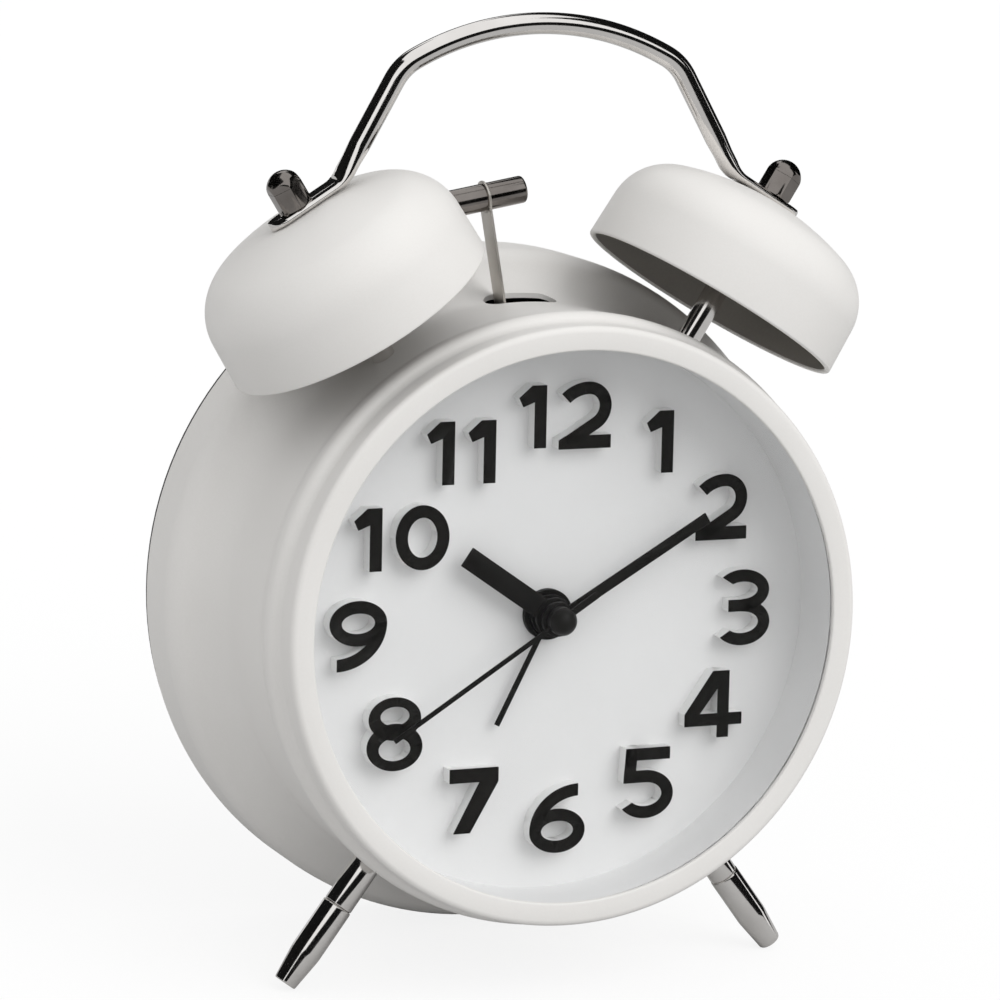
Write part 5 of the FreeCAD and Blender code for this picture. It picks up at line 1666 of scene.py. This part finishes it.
@dataclass
class Studio:
    """Pale floor, one soft lamp, an even fill, dark reflector cards and the camera."""

    camera_place: Triple = (-0.29877, -0.70657, 0.28733)
    camera_right: Triple = (0.927545, -0.369002, 0.059141)
    camera_up: Triple = (0.044769, 0.266831, 0.962702)
    camera_ahead: Triple = (0.371020, 0.890303, -0.264017)
    lens: float = 170.67
    sensor: float = 36.0
    nearest: float = 0.01
    floor_size: float = 12.0
    floor_tone: float = 0.5
    floor_rough: float = 0.9
    floor_glow: float = 0.72
    glow_tone: float = 1.18
    ambient: float = 0.84
    backdrop: float = 1.0
    sun_strength: float = 1.25
    sun_spread: float = 50.0
    sun_from: Triple = (0.40, -0.62, 0.68)
    felt_tone: float = 0.012
    cards: tuple[FeltCard, ...] = (
        FeltCard("card_left_front", -82.0, 26.0, 1.3, 1.3, 1.9),
        FeltCard("card_left_back", -135.0, 26.0, 1.3, 1.3, 1.9),
        FeltCard("card_right_front", 64.0, 26.0, 1.3, 0.6, 1.9),
        FeltCard("card_right_back", 118.0, 26.0, 1.3, 1.7, 1.9),
        FeltCard("card_front", 5.0, 8.5, 0.85, 2.2, 0.46),
        FeltCard("card_back", 180.0, 18.0, 1.3, 1.5, 0.6),
    )

    def camera(self) -> None:
        """Sets the photograph's camera up."""
        data = bpy.data.cameras.new("camera")
        data.lens = self.lens
        data.sensor_width = self.sensor
        data.clip_start = self.nearest
        item = shown("camera", data)
        back = [-value for value in self.camera_ahead]
        turn = Matrix((self.camera_right, self.camera_up, back)).transposed()
        item.matrix_world = shifted(*self.camera_place) @ turn.to_4x4()
        bpy.context.scene.camera = item

    def floor(self) -> None:
        """Lays a wide floor that looks white and keeps the clock's shadow."""
        bm = bmesh.new()
        bmesh.ops.create_grid(bm, x_segments=1, y_segments=1, size=self.floor_size)
        mesh = finished(bm, "floor")
        recipe = Recipe(
            "pale_floor", Base_Color=(*[self.floor_tone] * 3, 1.0), Roughness=self.floor_rough,
            Specular_IOR_Level=0.0,
        )
        glow = recipe.node("ShaderNodeEmission")
        glow.inputs["Color"].default_value = (*[self.glow_tone] * 3, 1.0)
        share = recipe.worked("MULTIPLY", recipe.rays("Is Camera Ray"), self.floor_glow)
        recipe.overlaid(share, glow)
        mesh.materials.append(recipe.material)
        item = shown("floor", mesh)

    def world(self) -> None:
        """Makes the world white where it is seen or mirrored, and an even fill elsewhere."""
        world = bpy.data.worlds.new("studio")
        bpy.context.scene.world = world
        world.use_nodes = True
        graph = Graph(world.node_tree)
        back = graph.tree.nodes["Background"]
        back.inputs["Color"].default_value = (1.0, 1.0, 1.0, 1.0)
        seen = graph.worked("MAXIMUM", graph.rays("Is Camera Ray"), graph.rays("Is Glossy Ray"))
        seen = graph.worked("MAXIMUM", seen, graph.rays("Is Transmission Ray"))
        strength = graph.ranged(seen, self.ambient, self.backdrop, 0.0, 1.0)
        graph.link(strength, back.inputs["Strength"])

    def sun(self) -> None:
        """Hangs one broad soft lamp, high on the right in front."""
        data = bpy.data.lights.new("key", "SUN")
        data.energy = self.sun_strength
        data.angle = math.radians(self.sun_spread)
        item = shown("key", data)
        item.matrix_world = Vector(self.sun_from).to_track_quat("Z", "Y").to_matrix().to_4x4()
        item.visible_glossy = False

    def build(self) -> None:
        """Sets the whole studio up."""
        bpy.context.scene.view_settings.view_transform = "Standard"
        self.camera()
        self.floor()
        self.world()
        self.sun()
        felt = Recipe(
            "black_felt", Base_Color=(*[self.felt_tone] * 3, 1.0), Roughness=1.0,
            Specular_IOR_Level=0.0,
        )
        for card in self.cards:
            card.hang(felt.material)


def clear() -> None:
    """Removes what a new file starts with."""
    for item in list(bpy.data.objects):
        bpy.data.objects.remove(item)


def main() -> None:
    """Builds the clock piece by piece, then the studio."""
    logging.basicConfig(level=logging.INFO, format="%(name)s %(message)s")
    clear()
    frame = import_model()
    shop = Workshop(frame)
    sides = ((-1.0, "left"), (1.0, "right"))
    sub_assemblies = [Drum(shop), Front(shop), Hands(shop)]
    sub_assemblies += [Bell(shop, *side) for side in sides] + [Handle(shop)]
    sub_assemblies += [Leg(shop, *side) for side in sides]
    sub_assemblies += [Striker(shop), Back(shop), Movement(shop), Studio()]
    for sub_assembly in sub_assemblies:
        sub_assembly.build()


if __name__ == "__main__":
    main()
